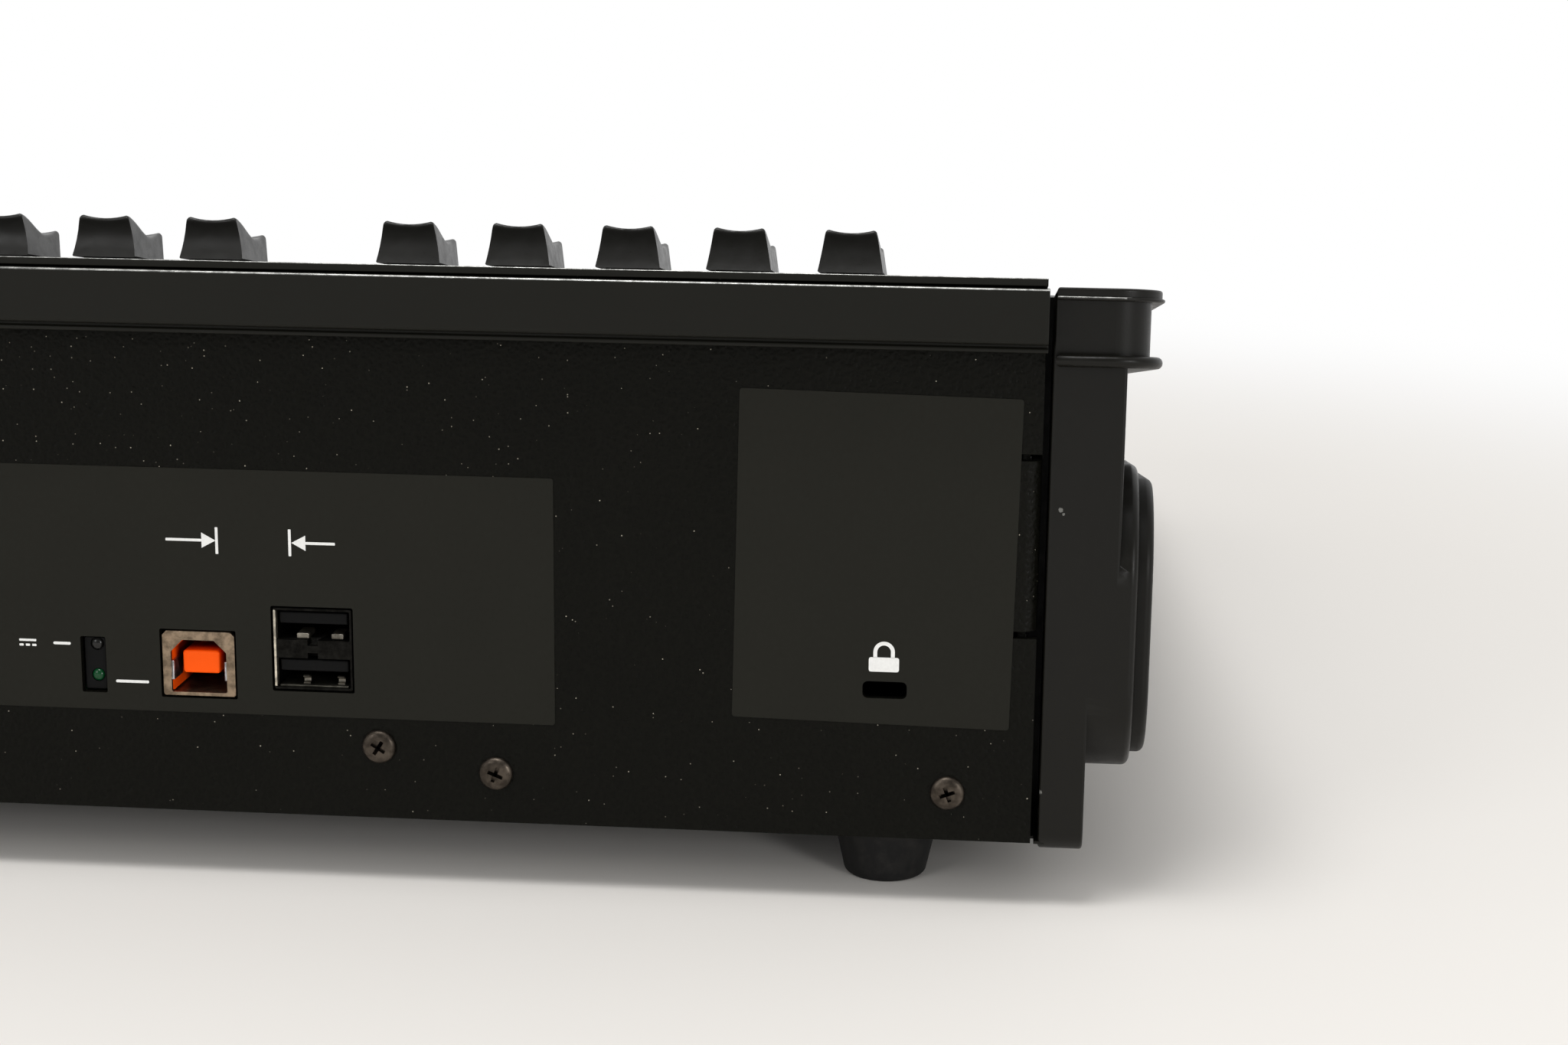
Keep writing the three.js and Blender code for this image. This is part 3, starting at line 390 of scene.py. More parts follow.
def slide_board():
    """The fader board: solder mask below, drawn steel slide bodies above it, told apart by height."""
    material, graph, shader, where = new_material("slide_board")
    normal = DECK_FRAME.to_3x3() @ Vector((0, 0, 1))
    off_deck = graph.vectors("SUBTRACT", where, tuple(DECK_FRAME.translation))
    height = graph.vectors("DOT_PRODUCT", off_deck, tuple(normal))
    above = graph.math("GREATER_THAN", height, -DECK_SHEET - 7.2 * MM)
    drawn = graph.noise(where, 0.6 * MM, 3)
    steel = graph.shade(drawn, (0.035, 0.035, 0.037), (0.06, 0.06, 0.062))
    graph.set(shader, Base_Color=graph.shade(above, copper_lines(graph, where), steel),
              Roughness=graph.spread(drawn, *NOISE_SPAN, 0.35, 0.5))
    graph.bump(shader, drawn, 0.01 * MM)
    return material


class Finishes:
    """All finishes, made once per run of the script."""

    made = {}

    @classmethod
    def get(cls, name):
        if not cls.made:
            colours = bpy.context.scene.wing_colours
            sizes = bpy.context.scene.wing_sizes
            cls.made = {
                "coat": wrinkle_coat(colours, sizes),
                "satin": satin_coat(colours),
                "moulding": plastic("cheek_moulding", tuple(colours.moulding), 0.36, 0.28 * MM, 0.01 * MM,
                                    0.1, 0.2, WORN_SPOTS),
                "boss": plastic("boss_moulding", scaled(colours.moulding, 0.92), 0.46, 0.22 * MM, 0.008 * MM,
                                0.1, 0.18),
                "film": film(colours),
                "marks": printed(colours),
                "rubber": rubber(),
                "plated": metal("plated_shell", tuple(colours.metal), 0.34),
                "screw": metal("screw_steel", (0.085, 0.07, 0.056), 0.38),
                "lever": metal("lever_steel", (0.55, 0.55, 0.56), 0.3, (1, 1, 0.1)),
                "contact": metal("contact_brass", (0.72, 0.52, 0.24), 0.3),
                "orange": orange_with_painted_shade(colours),
                # Lighter metal of the strip on the flat socket shell's edge at +X
                "worn": metal("edge_strip_plating", (0.72, 0.66, 0.54), 0.34),
                "black": plastic("socket_black", (0.005, 0.005, 0.005), 0.46, 0.2 * MM, 0.004 * MM,
                                 0.18, 0.08),
                "cap": plastic("cap_moulding", tuple(colours.cap), 0.34, 0.2 * MM, 0.003 * MM, 0.14, 0.27),
                "key": plastic("key_moulding", tuple(colours.key), 0.46, 0.25 * MM, 0.006 * MM, 0.1),
                "clear": lens("clear_lens", (0.012, 0.012, 0.011)),
                "green": lens("green_lens", (0.002, 0.055, 0.015)),
                "board": circuit_board(),
                "slide_board": slide_board(),
                "scale": printed(colours, "scale_ink", 0.35),
                # The flat socket's shell painted near black for the shade on it
                "painted_shade_metal": metal("painted_shade_shell", (0.014, 0.0135, 0.012), 0.5),
                "dull_metal": metal("dull_shell", (0.055, 0.052, 0.043), 0.46),
                "spring": metal("spring_metal", (0.26, 0.24, 0.2), 0.36),
                # Lighter metal given to chosen rounded edges: a painted highlight line
                "edge": metal("painted_highlight_edge", (0.3, 0.3, 0.285), 0.32),
            }
        return cls.made[name]


# Mesh helpers


def mesh_of(bm, name, smooth_angle=35):
    """Ends a bmesh as a smooth mesh whose sharper edges stay sharp."""
    bmesh.ops.recalc_face_normals(bm, faces=bm.faces)
    mesh = bpy.data.meshes.new(name)
    bm.to_mesh(mesh)
    bm.free()
    mesh.shade_smooth()
    mesh.set_sharp_from_angle(angle=math.radians(smooth_angle))
    return mesh


def reopened(mesh):
    bm = bmesh.new()
    bm.from_mesh(mesh)
    return bm


def linked(name, data):
    """A new object in the scene."""
    thing = bpy.data.objects.new(name, data)
    bpy.context.scene.collection.objects.link(thing)
    return thing


def applied(carrier):
    """The mesh of an object with its modifiers applied; the object is removed."""
    bpy.context.view_layer.update()
    result = bpy.data.meshes.new_from_object(carrier.evaluated_get(bpy.context.evaluated_depsgraph_get()))
    bpy.data.objects.remove(carrier)
    return result


def add_piece(name, mesh, finishes, body="housing", nodes=()):
    """Links a finished mesh as a piece that rides on a body and may stand for CAD nodes."""
    piece = linked(name, mesh)
    if mesh.materials:
        mesh.materials.clear()
    for finish_name in [finishes] if isinstance(finishes, str) else finishes:
        mesh.materials.append(Finishes.get(finish_name))
    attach(piece, body)
    if nodes:
        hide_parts(*nodes)
    return piece


def rounded(mesh, edge):
    """The mesh with its sharp edges rounded and its flat faces shaded flat."""
    carrier = linked("carrier", mesh)
    bevel = carrier.modifiers.new("edges", "BEVEL")
    bevel.width = edge
    bevel.segments = 2
    bevel.limit_method = "ANGLE"
    bevel.angle_limit = math.radians(32)
    bevel.miter_outer = "MITER_ARC"
    carrier.modifiers.new("shading", "WEIGHTED_NORMAL").keep_sharp = True
    return applied(carrier)


def recoloured(mesh, test, index=1):
    """Gives the faces whose centre and normal pass a test another material of the piece."""
    for face in mesh.polygons:
        if test(face.center, face.normal):
            face.material_index = index
    return mesh


def painted_since(bm, before, index):
    """Gives the faces added since a set of them was taken another material, and returns all of them."""
    for face in set(bm.faces) - before:
        face.material_index = index
    return set(bm.faces)


def frame_copy(node, dissolve):
    """A merged copy of a CAD node's mesh, its flat regions dissolved into whole faces where asked."""
    bm = reopened(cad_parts[node].data)
    bmesh.ops.remove_doubles(bm, verts=bm.verts, dist=0.002 * MM)
    if dissolve:
        bmesh.ops.dissolve_limit(
            bm, angle_limit=math.radians(0.5), verts=bm.verts, edges=bm.edges, use_dissolve_boundaries=False
        )
    return bm


def outline(corners, steps=8):
    """Points of a closed outline whose corners are (x, y) or (x, y, radius)."""
    points = []
    for i, corner in enumerate(corners):
        here = Vector(corner[:2])
        if len(corner) == 2:
            points.append(tuple(here))
            continue
        radius = corner[2]
        before = (Vector(corners[i - 1][:2]) - here).normalized()
        after = (Vector(corners[(i + 1) % len(corners)][:2]) - here).normalized()
        half = before.angle(after) / 2
        centre = here + (before + after).normalized() * radius / math.sin(half)
        start = here + before * radius / math.tan(half) - centre
        end = here + after * radius / math.tan(half) - centre
        first = math.atan2(start.y, start.x)
        sweep = (math.atan2(end.y, end.x) - first + math.pi) % (2 * math.pi) - math.pi
        for step in range(steps + 1):
            angle = first + sweep * step / steps
            points.append((centre.x + radius * math.cos(angle), centre.y + radius * math.sin(angle)))
    return points


def drawn_in(points, distance):
    """The outline moved inward by a distance all round."""
    ahead = points[1:] + points[:1]
    area = sum(a[0] * b[1] - b[0] * a[1] for a, b in zip(points, ahead))
    side = math.copysign(distance, area)
    result = []
    for i, point in enumerate(points):
        here = Vector(point)
        before = (here - Vector(points[i - 1])).normalized()
        after = (Vector(ahead[i]) - here).normalized()
        bisector = Vector((-before.y - after.y, before.x + after.x)).normalized()
        depth = max(0.3, bisector.dot(Vector((-before.y, before.x))))
        result.append(tuple(here + bisector * side / depth))
    return result


def soft_prism(bm, points, start, end, edges, place, steps=4):
    """Adds an extrusion of an outline whose two end edges are rounded, by radii that may be zero."""
    quarter = [math.pi / 2 * i / steps for i in range(steps + 1)]
    first, last = edges
    rings = [(0, start)]
    if first:
        rings = [(first * (1 - math.sin(a)), start + first * (1 - math.cos(a))) for a in quarter]
    if last:
        rings += [(last * (1 - math.cos(a)), end - last * (1 - math.sin(a))) for a in quarter]
    else:
        rings.append((0, end))
    lofted(bm, [[place(x, y, depth) for x, y in drawn_in(points, inset)] for inset, depth in rings])


def weighted(mesh):
    """The mesh with flat faces that look flat beside its rounded edges."""
    carrier = linked("carrier", mesh)
    carrier.modifiers.new("shading", "WEIGHTED_NORMAL").keep_sharp = True
    return applied(carrier)


def combined(base, others, smooth_angle=35):
    """The base mesh joined with or cut by others, each given as (operation, mesh)."""
    carrier = linked("carrier", base)
    helpers = []
    for operation, mesh in others:
        helpers.append(linked("helper", mesh))
        boolean = carrier.modifiers.new("boolean", "BOOLEAN")
        boolean.operation = operation
        boolean.solver = "EXACT"
        boolean.object = helpers[-1]
    result = applied(carrier)
    for helper in helpers:
        bpy.data.objects.remove(helper)
    bm = reopened(result)
    bmesh.ops.remove_doubles(bm, verts=bm.verts, dist=0.001 * MM)
    return weighted(mesh_of(bm, result.name, smooth_angle))


def prism(bm, points, start, end, place):
    """Adds a closed extrusion of a flat outline between two heights, put in place by a function."""
    low, high = ([bm.verts.new(place(x, y, level)) for x, y in points] for level in (start, end))
    bm.faces.new(low[::-1])
    bm.faces.new(high)
    for i in range(len(points)):
        j = (i + 1) % len(points)
        bm.faces.new((low[i], low[j], high[j], high[i]))


def rounded_rectangle(half_x, half_y, radius, steps=6):
    """Points of a rectangle about the origin with round corners, counter-clockwise."""
    points = []
    for cx, cy, start in [(1, 1, 0), (-1, 1, 90), (-1, -1, 180), (1, -1, 270)]:
        for step in range(steps + 1):
            angle = math.radians(start + 90 * step / steps)
            points.append((cx * (half_x - radius) + radius * math.cos(angle),
                           cy * (half_y - radius) + radius * math.sin(angle)))
    return points


def box_mesh(bm, low, high):
    points = [(low[0], low[1]), (high[0], low[1]), (high[0], high[1]), (low[0], high[1])]
    prism(bm, points, low[2], high[2], lambda x, y, z: (x, y, z))


def lofted(bm, rings, closed=True):
    """Joins rings of points into a skin and closes its ends where asked."""
    loops = [[bm.verts.new(point) for point in ring] for ring in rings]
    for here, there in zip(loops, loops[1:]):
        for i in range(len(here)):
            j = (i + 1) % len(here)
            bm.faces.new((here[i], here[j], there[j], there[i]))
    if closed:
        bm.faces.new(loops[0][::-1])
        bm.faces.new(loops[-1])
    return loops


def turned(bm, profile, centre, axis="Z", steps=48):
    """Adds a closed solid of revolution from (radius, height) points, the first and last on the axis."""
    def place(radius, height, angle):
        a, b = radius * math.cos(angle), radius * math.sin(angle)
        if axis == "Z":
            return Vector((centre[0] + a, centre[1] + b, centre[2] + height))
        return Vector((centre[0] + a, centre[1] + height, centre[2] - b))

    start = bm.verts.new(place(0, profile[0][1], 0))
    end = bm.verts.new(place(0, profile[-1][1], 0))
    angles = [2 * math.pi * i / steps for i in range(steps)]
    rings = [[bm.verts.new(place(r, h, angle)) for angle in angles] for r, h in profile[1:-1]]
    for i in range(steps):
        j = (i + 1) % steps
        bm.faces.new((start, rings[0][j], rings[0][i]))
        for here, there in zip(rings, rings[1:]):
            bm.faces.new((here[i], here[j], there[j], there[i]))
        bm.faces.new((end, rings[-1][i], rings[-1][j]))


def arc(cx, cy, radius, start, end, steps):
    """Points of an arc in the plane, the angles in degrees."""
    angles = [math.radians(start + (end - start) * i / steps) for i in range(steps + 1)]
    return [(cx + radius * math.cos(a), cy + radius * math.sin(a)) for a in angles]


# Stage

FLOOR_HALF = 6.0
# The floor's paint turns to white between these distances from the origin
FLOOR_FADE = (0.24, 0.62)
CAMERA_LENS = 60.29
CAMERA_PLACE = (-140.1 * MM, 552.6 * MM, 151.3 * MM)
# Heading, dip and roll in degrees
CAMERA_TURN = (-175.02, 12.48, 0.62)
# Name, place, the point that it faces, width and power
LAMPS = (
    ("overhead_panel", (0.15, 0.45, 1.6), (0.0, 0.1, 0.05), 0.6, 13.5),
    ("left_panel", (1.0, 1.5, 0.75), (0.0, 0.15, 0.06), 0.7, 6),
    ("right_strip", (-0.95, 1.15, 0.3), (-0.15, 0.15, 0.09), 0.3, 5),
)


class WING_OT_stage(bpy.types.Operator):
    """Builds the floor, the lamps, the world and the camera"""

    bl_idname = "wing.stage"
    bl_label = "Stage"

    def execute(self, context):
        self.floor()
        self.camera(context)
        for lamp in LAMPS:
            self.lamp(*lamp)
        self.world(context)
        context.scene.view_settings.view_transform = "Standard"
        return {"FINISHED"}

    def floor(self):
        """A pale floor that turns white to the eye further out, like a studio sweep."""
        bm = bmesh.new()
        half = FLOOR_HALF
        corners = ((-half, -half), (half, -half), (half, half), (-half, half))
        bm.faces.new([bm.verts.new((x, y, 0)) for x, y in corners])
        bmesh.ops.subdivide_edges(bm, edges=bm.edges, cuts=11, use_grid_fill=True)
        mesh = mesh_of(bm, "floor")
        material, graph, shader, where = new_material("floor_paint")
        tone = graph.shade(graph.noise(where, 0.4, 2), (0.77, 0.742, 0.705), (0.81, 0.782, 0.745))
        graph.set(shader, Base_Color=tone, Roughness=0.7, Specular_IOR_Level=0.2)
        near, far = FLOOR_FADE
        away = graph.vectors("LENGTH", where)
        fade = graph.add("ShaderNodeMapRange", Value=away, From_Min=near, From_Max=far)
        fade.interpolation_type = "SMOOTHERSTEP"
        rays = graph.add("ShaderNodeLightPath").outputs
        seen = graph.math("MAXIMUM", rays["Is Camera Ray"], rays["Is Glossy Ray"])
        seen = graph.math("MAXIMUM", seen, rays["Is Transmission Ray"])
        glow = graph.add("ShaderNodeEmission", Strength=1.0)
        mix = graph.add("ShaderNodeMixShader")
        faces = (graph.math("MULTIPLY", fade.outputs["Result"], seen), shader.outputs["BSDF"],
                 glow.outputs["Emission"])
        for index, value in enumerate(faces):
            graph.feed(mix, index, value)
        output = next(node for node in graph.tree.nodes if node.type == "OUTPUT_MATERIAL")
        graph.set(output, Surface=mix.outputs["Shader"])
        mesh.materials.append(material)
        return linked("floor", mesh)

    def camera(self, context):
        data = bpy.data.cameras.new("camera")
        data.sensor_width = 36
        data.lens = CAMERA_LENS
        data.clip_start = 0.02
        heading, dip, roll = (math.radians(a) for a in CAMERA_TURN)
        turn = (
            Matrix.Rotation(heading, 4, "Z")
            @ Matrix.Rotation(math.pi / 2 - dip, 4, "X")
            @ Matrix.Rotation(roll, 4, "Z")
        )
        camera = linked("camera", data)
        camera.matrix_world = Matrix.Translation(CAMERA_PLACE) @ turn
        context.scene.camera = camera

    def lamp(self, name, place, target, size, power):
        data = bpy.data.lights.new(name, "AREA")
        data.shape = "SQUARE"
        data.size = size
        data.energy = power
        lamp = linked(name, data)
        lamp.location = place
        lamp.rotation_euler = (Vector(target) - Vector(place)).to_track_quat("-Z", "Y").to_euler()

    def world(self, context):
        """An even white room, whose side behind the camera is darker in reflections."""
        world = bpy.data.worlds.new("studio")
        context.scene.world = world
        world.use_nodes = True
        world.node_tree.nodes.clear()
        graph = Graph(world.node_tree)
        parts = graph.split(graph.add("ShaderNodeTexCoord").outputs["Generated"])
        lean = graph.math("SUBTRACT", graph.math("MULTIPLY", parts["Z"], 0.5), parts["Y"])
        room = graph.spread(lean, -0.65, 0.55, 0.22, 1.0)
        rays = graph.add("ShaderNodeLightPath").outputs
        plain = graph.math("MAXIMUM", rays["Is Camera Ray"], rays["Is Transmission Ray"])
        lit = graph.math("SUBTRACT", 1.0, graph.math("MAXIMUM", plain, rays["Is Glossy Ray"]))
        strength = graph.math("ADD", plain, graph.math("MULTIPLY", rays["Is Glossy Ray"], room))
        strength = graph.math("ADD", strength, graph.math("MULTIPLY", lit, 0.62))
        background = graph.add("ShaderNodeBackground", Strength=strength, Color=(1, 1, 1, 1))
        graph.add("ShaderNodeOutputWorld", Surface=background.outputs["Background"])


# Housing

# How far from the deck's rear edge an edge may get the painted highlight
PAINTED_HIGHLIGHT_BAND = 0.6 * MM
# Corner radius and height of the side plate at its rear end
BOSS_CORNER = 14 * MM
BOSS_TOP = 59 * MM
BOSS_STEPS = 24


def across(side):
    """Places an outline drawn along Y and Z, its depth outward from the housing's end."""
    return lambda y, z, out: (side * (HOUSING_HALF + out), y, z)


class WING_OT_housing(bpy.types.Operator):
    """Rounds the edges of the folded sheets and draws the rear rail"""

    bl_idname = "wing.housing"
    bl_label = "Housing"

    ledge: measure("Ledge", 1, "Rail's ledge behind the deck")
    face_drop: measure("Face drop", 9.4, "Lower edge of the rail's face below the deck's rear edge")
    groove: measure("Groove", 0.75, "Depth of the rail's groove")
    lip: measure("Lip", 0.7, "Height of the rail's lip")

    def execute(self, context):
        sizes = context.scene.wing_sizes
        for node in ("base_pan", "rear_panel", "top_panel"):
            copy = frame_copy(node, node != "top_panel")
            mesh = rounded(mesh_of(copy, node + "_sheet"), sizes.sheet_edge)
            if node == "top_panel":
                # The deck's rounded rear edge gets the lighter edge metal as a painted highlight line, its
                # rear end face the satin coat
                end = DECK_HIGH.y - PAINTED_HIGHLIGHT_BAND
                recoloured(mesh, lambda at, way: at.y > end and way.y > 0.2 and way.z > 0.2)
                recoloured(mesh, lambda at, way: at.y > end and way.y > 0.95, 2)
            add_piece(node + "_sheet", mesh, ["coat", "edge", "satin"], nodes=[node])
        self.rail()
        return {"FINISHED"}

    def rail(self):
        rear, bottom = RAIL_HIGH.y, RAIL_LOW.z
        top = deck_top(DECK_HIGH.y) - (DECK_SHEET + 0.3 * MM) / math.cos(DECK_SLOPE)
        front = RAIL_LOW.y
        front_top = top - (DECK_HIGH.y - front) * math.tan(DECK_SLOPE)
        face_bottom = DECK_HIGH.z - self.face_drop
        grip_bottom = DECK_HIGH.z - 7.2 * MM
        panel_top = PANEL_HIGH.z + 0.3 * MM
        seat = (REAR_PLANE - 1.8 * MM, REAR_PLANE + 0.3 * MM)
        groove_face = rear - 2 * self.groove
        section = outline([
            (rear, face_bottom - self.groove, 0.85 * MM),
            (rear, top, 0.4 * MM),
            (rear - self.ledge, top),
            (front, front_top, 0.2 * MM),
            (front, grip_bottom, 0.2 * MM),
            (seat[0], grip_bottom),
            (seat[0], panel_top),
            (seat[1], panel_top),
            (seat[1], bottom, 0.2 * MM),
            (rear - self.groove, bottom, 0.3 * MM),
            (rear - self.groove, bottom + self.lip, 0.3 * MM),
            (groove_face, bottom + self.lip, 0.2 * MM),
            (groove_face, face_bottom - self.groove, 0.2 * MM),
        ], 6)
        bm = bmesh.new()
        soft_prism(bm, section, RAIL_LOW.x, RAIL_HIGH.x, (0.14 * MM, 0.14 * MM), lambda y, z, x: (x, y, z), 3)
        mesh = weighted(mesh_of(bm, "rail_bar", 30))
        # The rail's rounded top edge gets the lighter edge metal as a painted highlight line
        recoloured(mesh, lambda at, way: at.z > top - PAINTED_HIGHLIGHT_BAND and way.y > 0.2 and way.z > 0.2)
        add_piece("rail_bar", mesh, ["satin", "edge"], nodes=["rear_rail"])


def boss_outline(widening):
    """Outline of the side plate, widened all round, whose top follows the deck's slope."""
    plate_rear, plate_front = BOSS_HIGH.y, BOSS_LOW.y
    rear, front = plate_rear + widening, plate_front - widening
    low = BOSS_LOW.z - widening
    radius = BOSS_CORNER + widening

    def top_at(y):
        rise = (y - plate_rear) * math.tan(DECK_SLOPE)
        return PAN_BOTTOM + BOSS_TOP + rise + widening / math.cos(DECK_SLOPE)

    corners = [(front, low), (rear, low), (rear, top_at(rear)), (front, top_at(front))]
    return outline([(*corner, radius) for corner in corners], BOSS_STEPS)


class WING_OT_cheeks(bpy.types.Operator):
    """Builds the end cheeks with their channel bumpers, pedestals and seated plates"""

    bl_idname = "wing.cheeks"
    bl_label = "End cheeks"

    inner: measure("Inner", 1.2, "Gap to the housing's end")
    thin: measure("Thin", 8.3, "Outer face of the thin body")
    thick: measure("Thick", 12.6, "Outer face of the thick band")
    band_bottom: measure("Band bottom", 11.6, "Underside of the thick band over the pan's underside")
    corner: measure("Corner", 4, "Lower corners' radius")
    skirt: measure("Skirt", 1, "How far the moulding hangs below its solid")
    pedestal: measure("Pedestal", 15.5, "Outer face of the pedestal")
    step: measure("Step", 2.2, "How far the pedestal stands past the plate all round")
    pocket: measure("Pocket", 1.5, "Depth of the plate's seat")
    pocket_gap: measure("Pocket gap", 0.35, "Gap round the plate")
    boss_edge: measure("Boss edge", 1.2, "Rounding of the pedestal and the plate")
    drop: measure("Bumper drop", 1.15, "Bumper's top below the deck's surface")
    height: measure("Bumper height", 12.2, "Bumper's height")
    reach: measure("Bumper reach", 3, "How far the bumper stands past the cheek's ends")
    channel: measure("Channel", 2, "Depth of the bumper's channel")
    flange_corner: measure("Bumper corner", 7.6, "Corner radius of the flanges in plan")

    def execute(self, context):
        for side, name in ((1, "right"), (-1, "left")):
            self.cheek(side, name, context.scene.wing_sizes.moulding_edge)
            bm = bmesh.new()
            edges = (0, self.boss_edge)
            soft_prism(bm, boss_outline(0), BOSS_LOW.x - HOUSING_HALF, BOSS_HIGH.x - HOUSING_HALF, edges,
                       across(side), 6)
            mesh = weighted(mesh_of(bm, name + "_plate", 30))
            add_piece(name + "_plate", mesh, "boss", nodes=[name + "_side_boss"])
        return {"FINISHED"}

    def bumper_top(self, y):
        """Height of the bumper's top at a place along Y."""
        return deck_top(y) - self.drop

    def solid(self, name, points, start, end, edges, place, steps=4):
        bm = bmesh.new()
        soft_prism(bm, points, start, end, edges, place, steps)
        return mesh_of(bm, name, 30)

    def cheek(self, side, name, edge):
        place = across(side)
        bottom = CHEEK_LOW.z - self.skirt
        low_top = 0.55 * MM
        front, rear = FRONT_PLANE, REAR_PLANE
        body = self.solid("body", outline([
            (front, bottom, self.corner),
            (rear, bottom, self.corner),
            (rear, self.bumper_top(rear) - low_top),
            (front, self.bumper_top(front) - low_top),
        ]), self.inner, self.thin, (edge, edge), place)
        band_bottom = PAN_BOTTOM + self.band_bottom
        band = self.solid("band", outline([
            (front, band_bottom, self.corner),
            (rear, band_bottom, BOSS_CORNER + self.step),
            (rear, self.bumper_top(rear) - low_top),
            (front, self.bumper_top(front) - low_top),
        ], 12), self.thin - 3 * MM, self.thick, (0, edge), place)
        pedestal = self.solid("pedestal", boss_outline(self.step), self.thin - 2 * MM, self.pedestal,
                              (0, self.boss_edge), place, 6)
        pocket = self.solid("pocket", boss_outline(self.pocket_gap), self.pedestal - self.pocket,
                            self.pedestal + 5 * MM, (0, 0), place)
        cuts = [("UNION", band), ("UNION", pedestal), ("DIFFERENCE", pocket)]
        cuts += [("UNION", mesh) for mesh in self.bumper(side)]
        mesh = combined(body, cuts, 30)
        bm = reopened(mesh)
        self.pads(bm, side)
        mesh = weighted(mesh_of(bm, name + "_cheek_moulding", 30))
        # A band just under the bumper's top, on its rear, gets the lighter edge metal as a painted highlight
        # line
        recoloured(mesh, lambda at, way: way.z > 0.2 and way.y > 0.2 and abs(way.x) < 0.2
                   and 1.28 * MM < self.bumper_top(at.y) - at.z < 1.75 * MM)
        name += "_cheek"
        add_piece(name + "_moulding", mesh, ["moulding", "edge"], nodes=[name])

    def bumper(self, side):
        """The bumper's layers, each a plan outline between two depths under the deck's slope."""
        left, right = 1.48 * MM, CHEEK_HIGH.x - HOUSING_HALF
        rear, front = REAR_PLANE + self.reach, FRONT_PLANE - self.reach
        shim = 0.42 * MM
        layers = [
            (0, 1.5 * MM, shim, (0.45 * MM, 0)),
            (1.32 * MM, 1.95 * MM, 0, (0.3 * MM, 0.3 * MM)),
            (0.4 * MM, self.height - 0.5 * MM, self.channel, (0, 0)),
            (self.height - 1.9 * MM, self.height, 0, (0.9 * MM, 0.9 * MM)),
        ]
        meshes = []
        for top, base, inset, edges in layers:
            radius = self.flange_corner - inset
            plan = outline([
                (left, front + inset),
                (right - inset, front + inset, radius),
                (right - inset, rear - inset, radius),
                (left, rear - inset),
            ], 16)

            def place(out, y, depth):
                return (side * (HOUSING_HALF + out), y, self.bumper_top(y) - depth)

            meshes.append(self.solid("bumper", plan, top, base, edges, place))
        return meshes

    def pads(self, bm, side):
        """Seats between the cheek and the pan: round pads and two light baffles."""
        gap_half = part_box("base_pan")[1].x + 0.3 * MM
        bottom = CHEEK_LOW.z
        for share in (0.2, 0.5, 0.86):
            y = FRONT_PLANE + (REAR_PLANE - FRONT_PLANE) * share
            z = bottom + (self.bumper_top(y) - bottom) * 0.45
            ring = [(y + a, z + b) for a, b in arc(0, 0, 5 * MM, 0, 345, 23)]
            prism(bm, ring, gap_half - HOUSING_HALF, self.inner + 1 * MM, across(side))
        near, slit, far = gap_half - HOUSING_HALF + 0.15 * MM, 0.5 * MM, self.inner + 1 * MM
        front, notch, rear = FRONT_PLANE + 8 * MM, REAR_PLANE - 3.4 * MM, REAR_PLANE - 0.8 * MM
        strip = [(near, front), (far, front), (far, rear), (slit, rear), (slit, notch), (near, notch)]
        prism(bm, strip, PAN_BOTTOM - 0.35 * MM, PAN_BOTTOM + 0.1 * MM,
              lambda out, y, z: (side * (HOUSING_HALF + out), y, z))
        for y in (REAR_PLANE - 18 * MM, FRONT_PLANE + 18 * MM):
            top = deck_top(y - 2.4 * MM) - 1.6 * MM
            rib = [(y - 2.4 * MM, PAN_BOTTOM), (y, PAN_BOTTOM), (y, top), (y - 2.4 * MM, top)]
            prism(bm, rib, gap_half - HOUSING_HALF, self.inner + 1 * MM, across(side))


class WING_OT_feet(bpy.types.Operator):
    """Turns the four tapered rubber feet"""

    bl_idname = "wing.feet"
    bl_label = "Feet"

    def execute(self, context):
        height = FOOT_HIGH.z
        top = (FOOT_HIGH.x - FOOT_LOW.x) / 2
        foot_radius, toe = 6.9 * MM, 1.2 * MM
        recess, recess_depth = 3.2 * MM, 5 * MM
        rim = 0.4 * MM
        for node in FOOT_NODES:
            low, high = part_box(node)
            centre = ((low.x + high.x) / 2, (low.y + high.y) / 2, 0)
            profile = [(0, recess_depth), (recess, recess_depth), (recess, 0.5 * MM)]
            profile += [(recess + 0.5 * MM, 0), (foot_radius - toe, 0)]
            profile += arc(foot_radius - toe, toe, toe, -75, -10, 5)
            profile += [(top - 0.5 * MM, height - 2.4 * MM), (top, height - 1.6 * MM)]
            profile += arc(top - rim, height - rim, rim, 0, 90, 4)
            profile += [(0, height)]
            bm = bmesh.new()
            turned(bm, profile, centre)
            add_piece(node + "_rubber", mesh_of(bm, node, 40), "rubber", nodes=[node])
        return {"FINISHED"}


# Rear panel's sockets, plates, signs and screws

# Millimetres along the panel from its end at -X, and up from its bottom edge
JACK_PLACE = (182, 24.6)
# Left, bottom, right and top
LIGHTS_WINDOW = (150.3, 19.6, 154.5, 29)
LOCK_SLOT = (20.2, 23.2, 27.24, 26)
LIGHTS_MIDDLE = 152
LIGHT_LEVELS = (19.6 + 2.75, 19.6 + 8)
# From and to along the panel, then from and to in height
END_PLATE = ((3.5, 47.6), (19, 72.2))
SOCKET_PLATE = ((76.6, 202), (16.8, 57.3))
# Start, end and tray of each arrow
ARROWS = ((139.6, 131.4, 131.4), (111.9, 119.0, 119.9))
ARROW_LEVEL = 45.6
END_SCREWS = [(13.4, 7.9), (86.35, 8.3)]
MIDDLE_SCREW = (105.5, 12.1)
# Shares of a screw head's diameter
HEAD_RISE = 0.17
HEAD_RECESS = 0.46
# How far a cutter stands past what it cuts
OVERRUN = 2 * MM
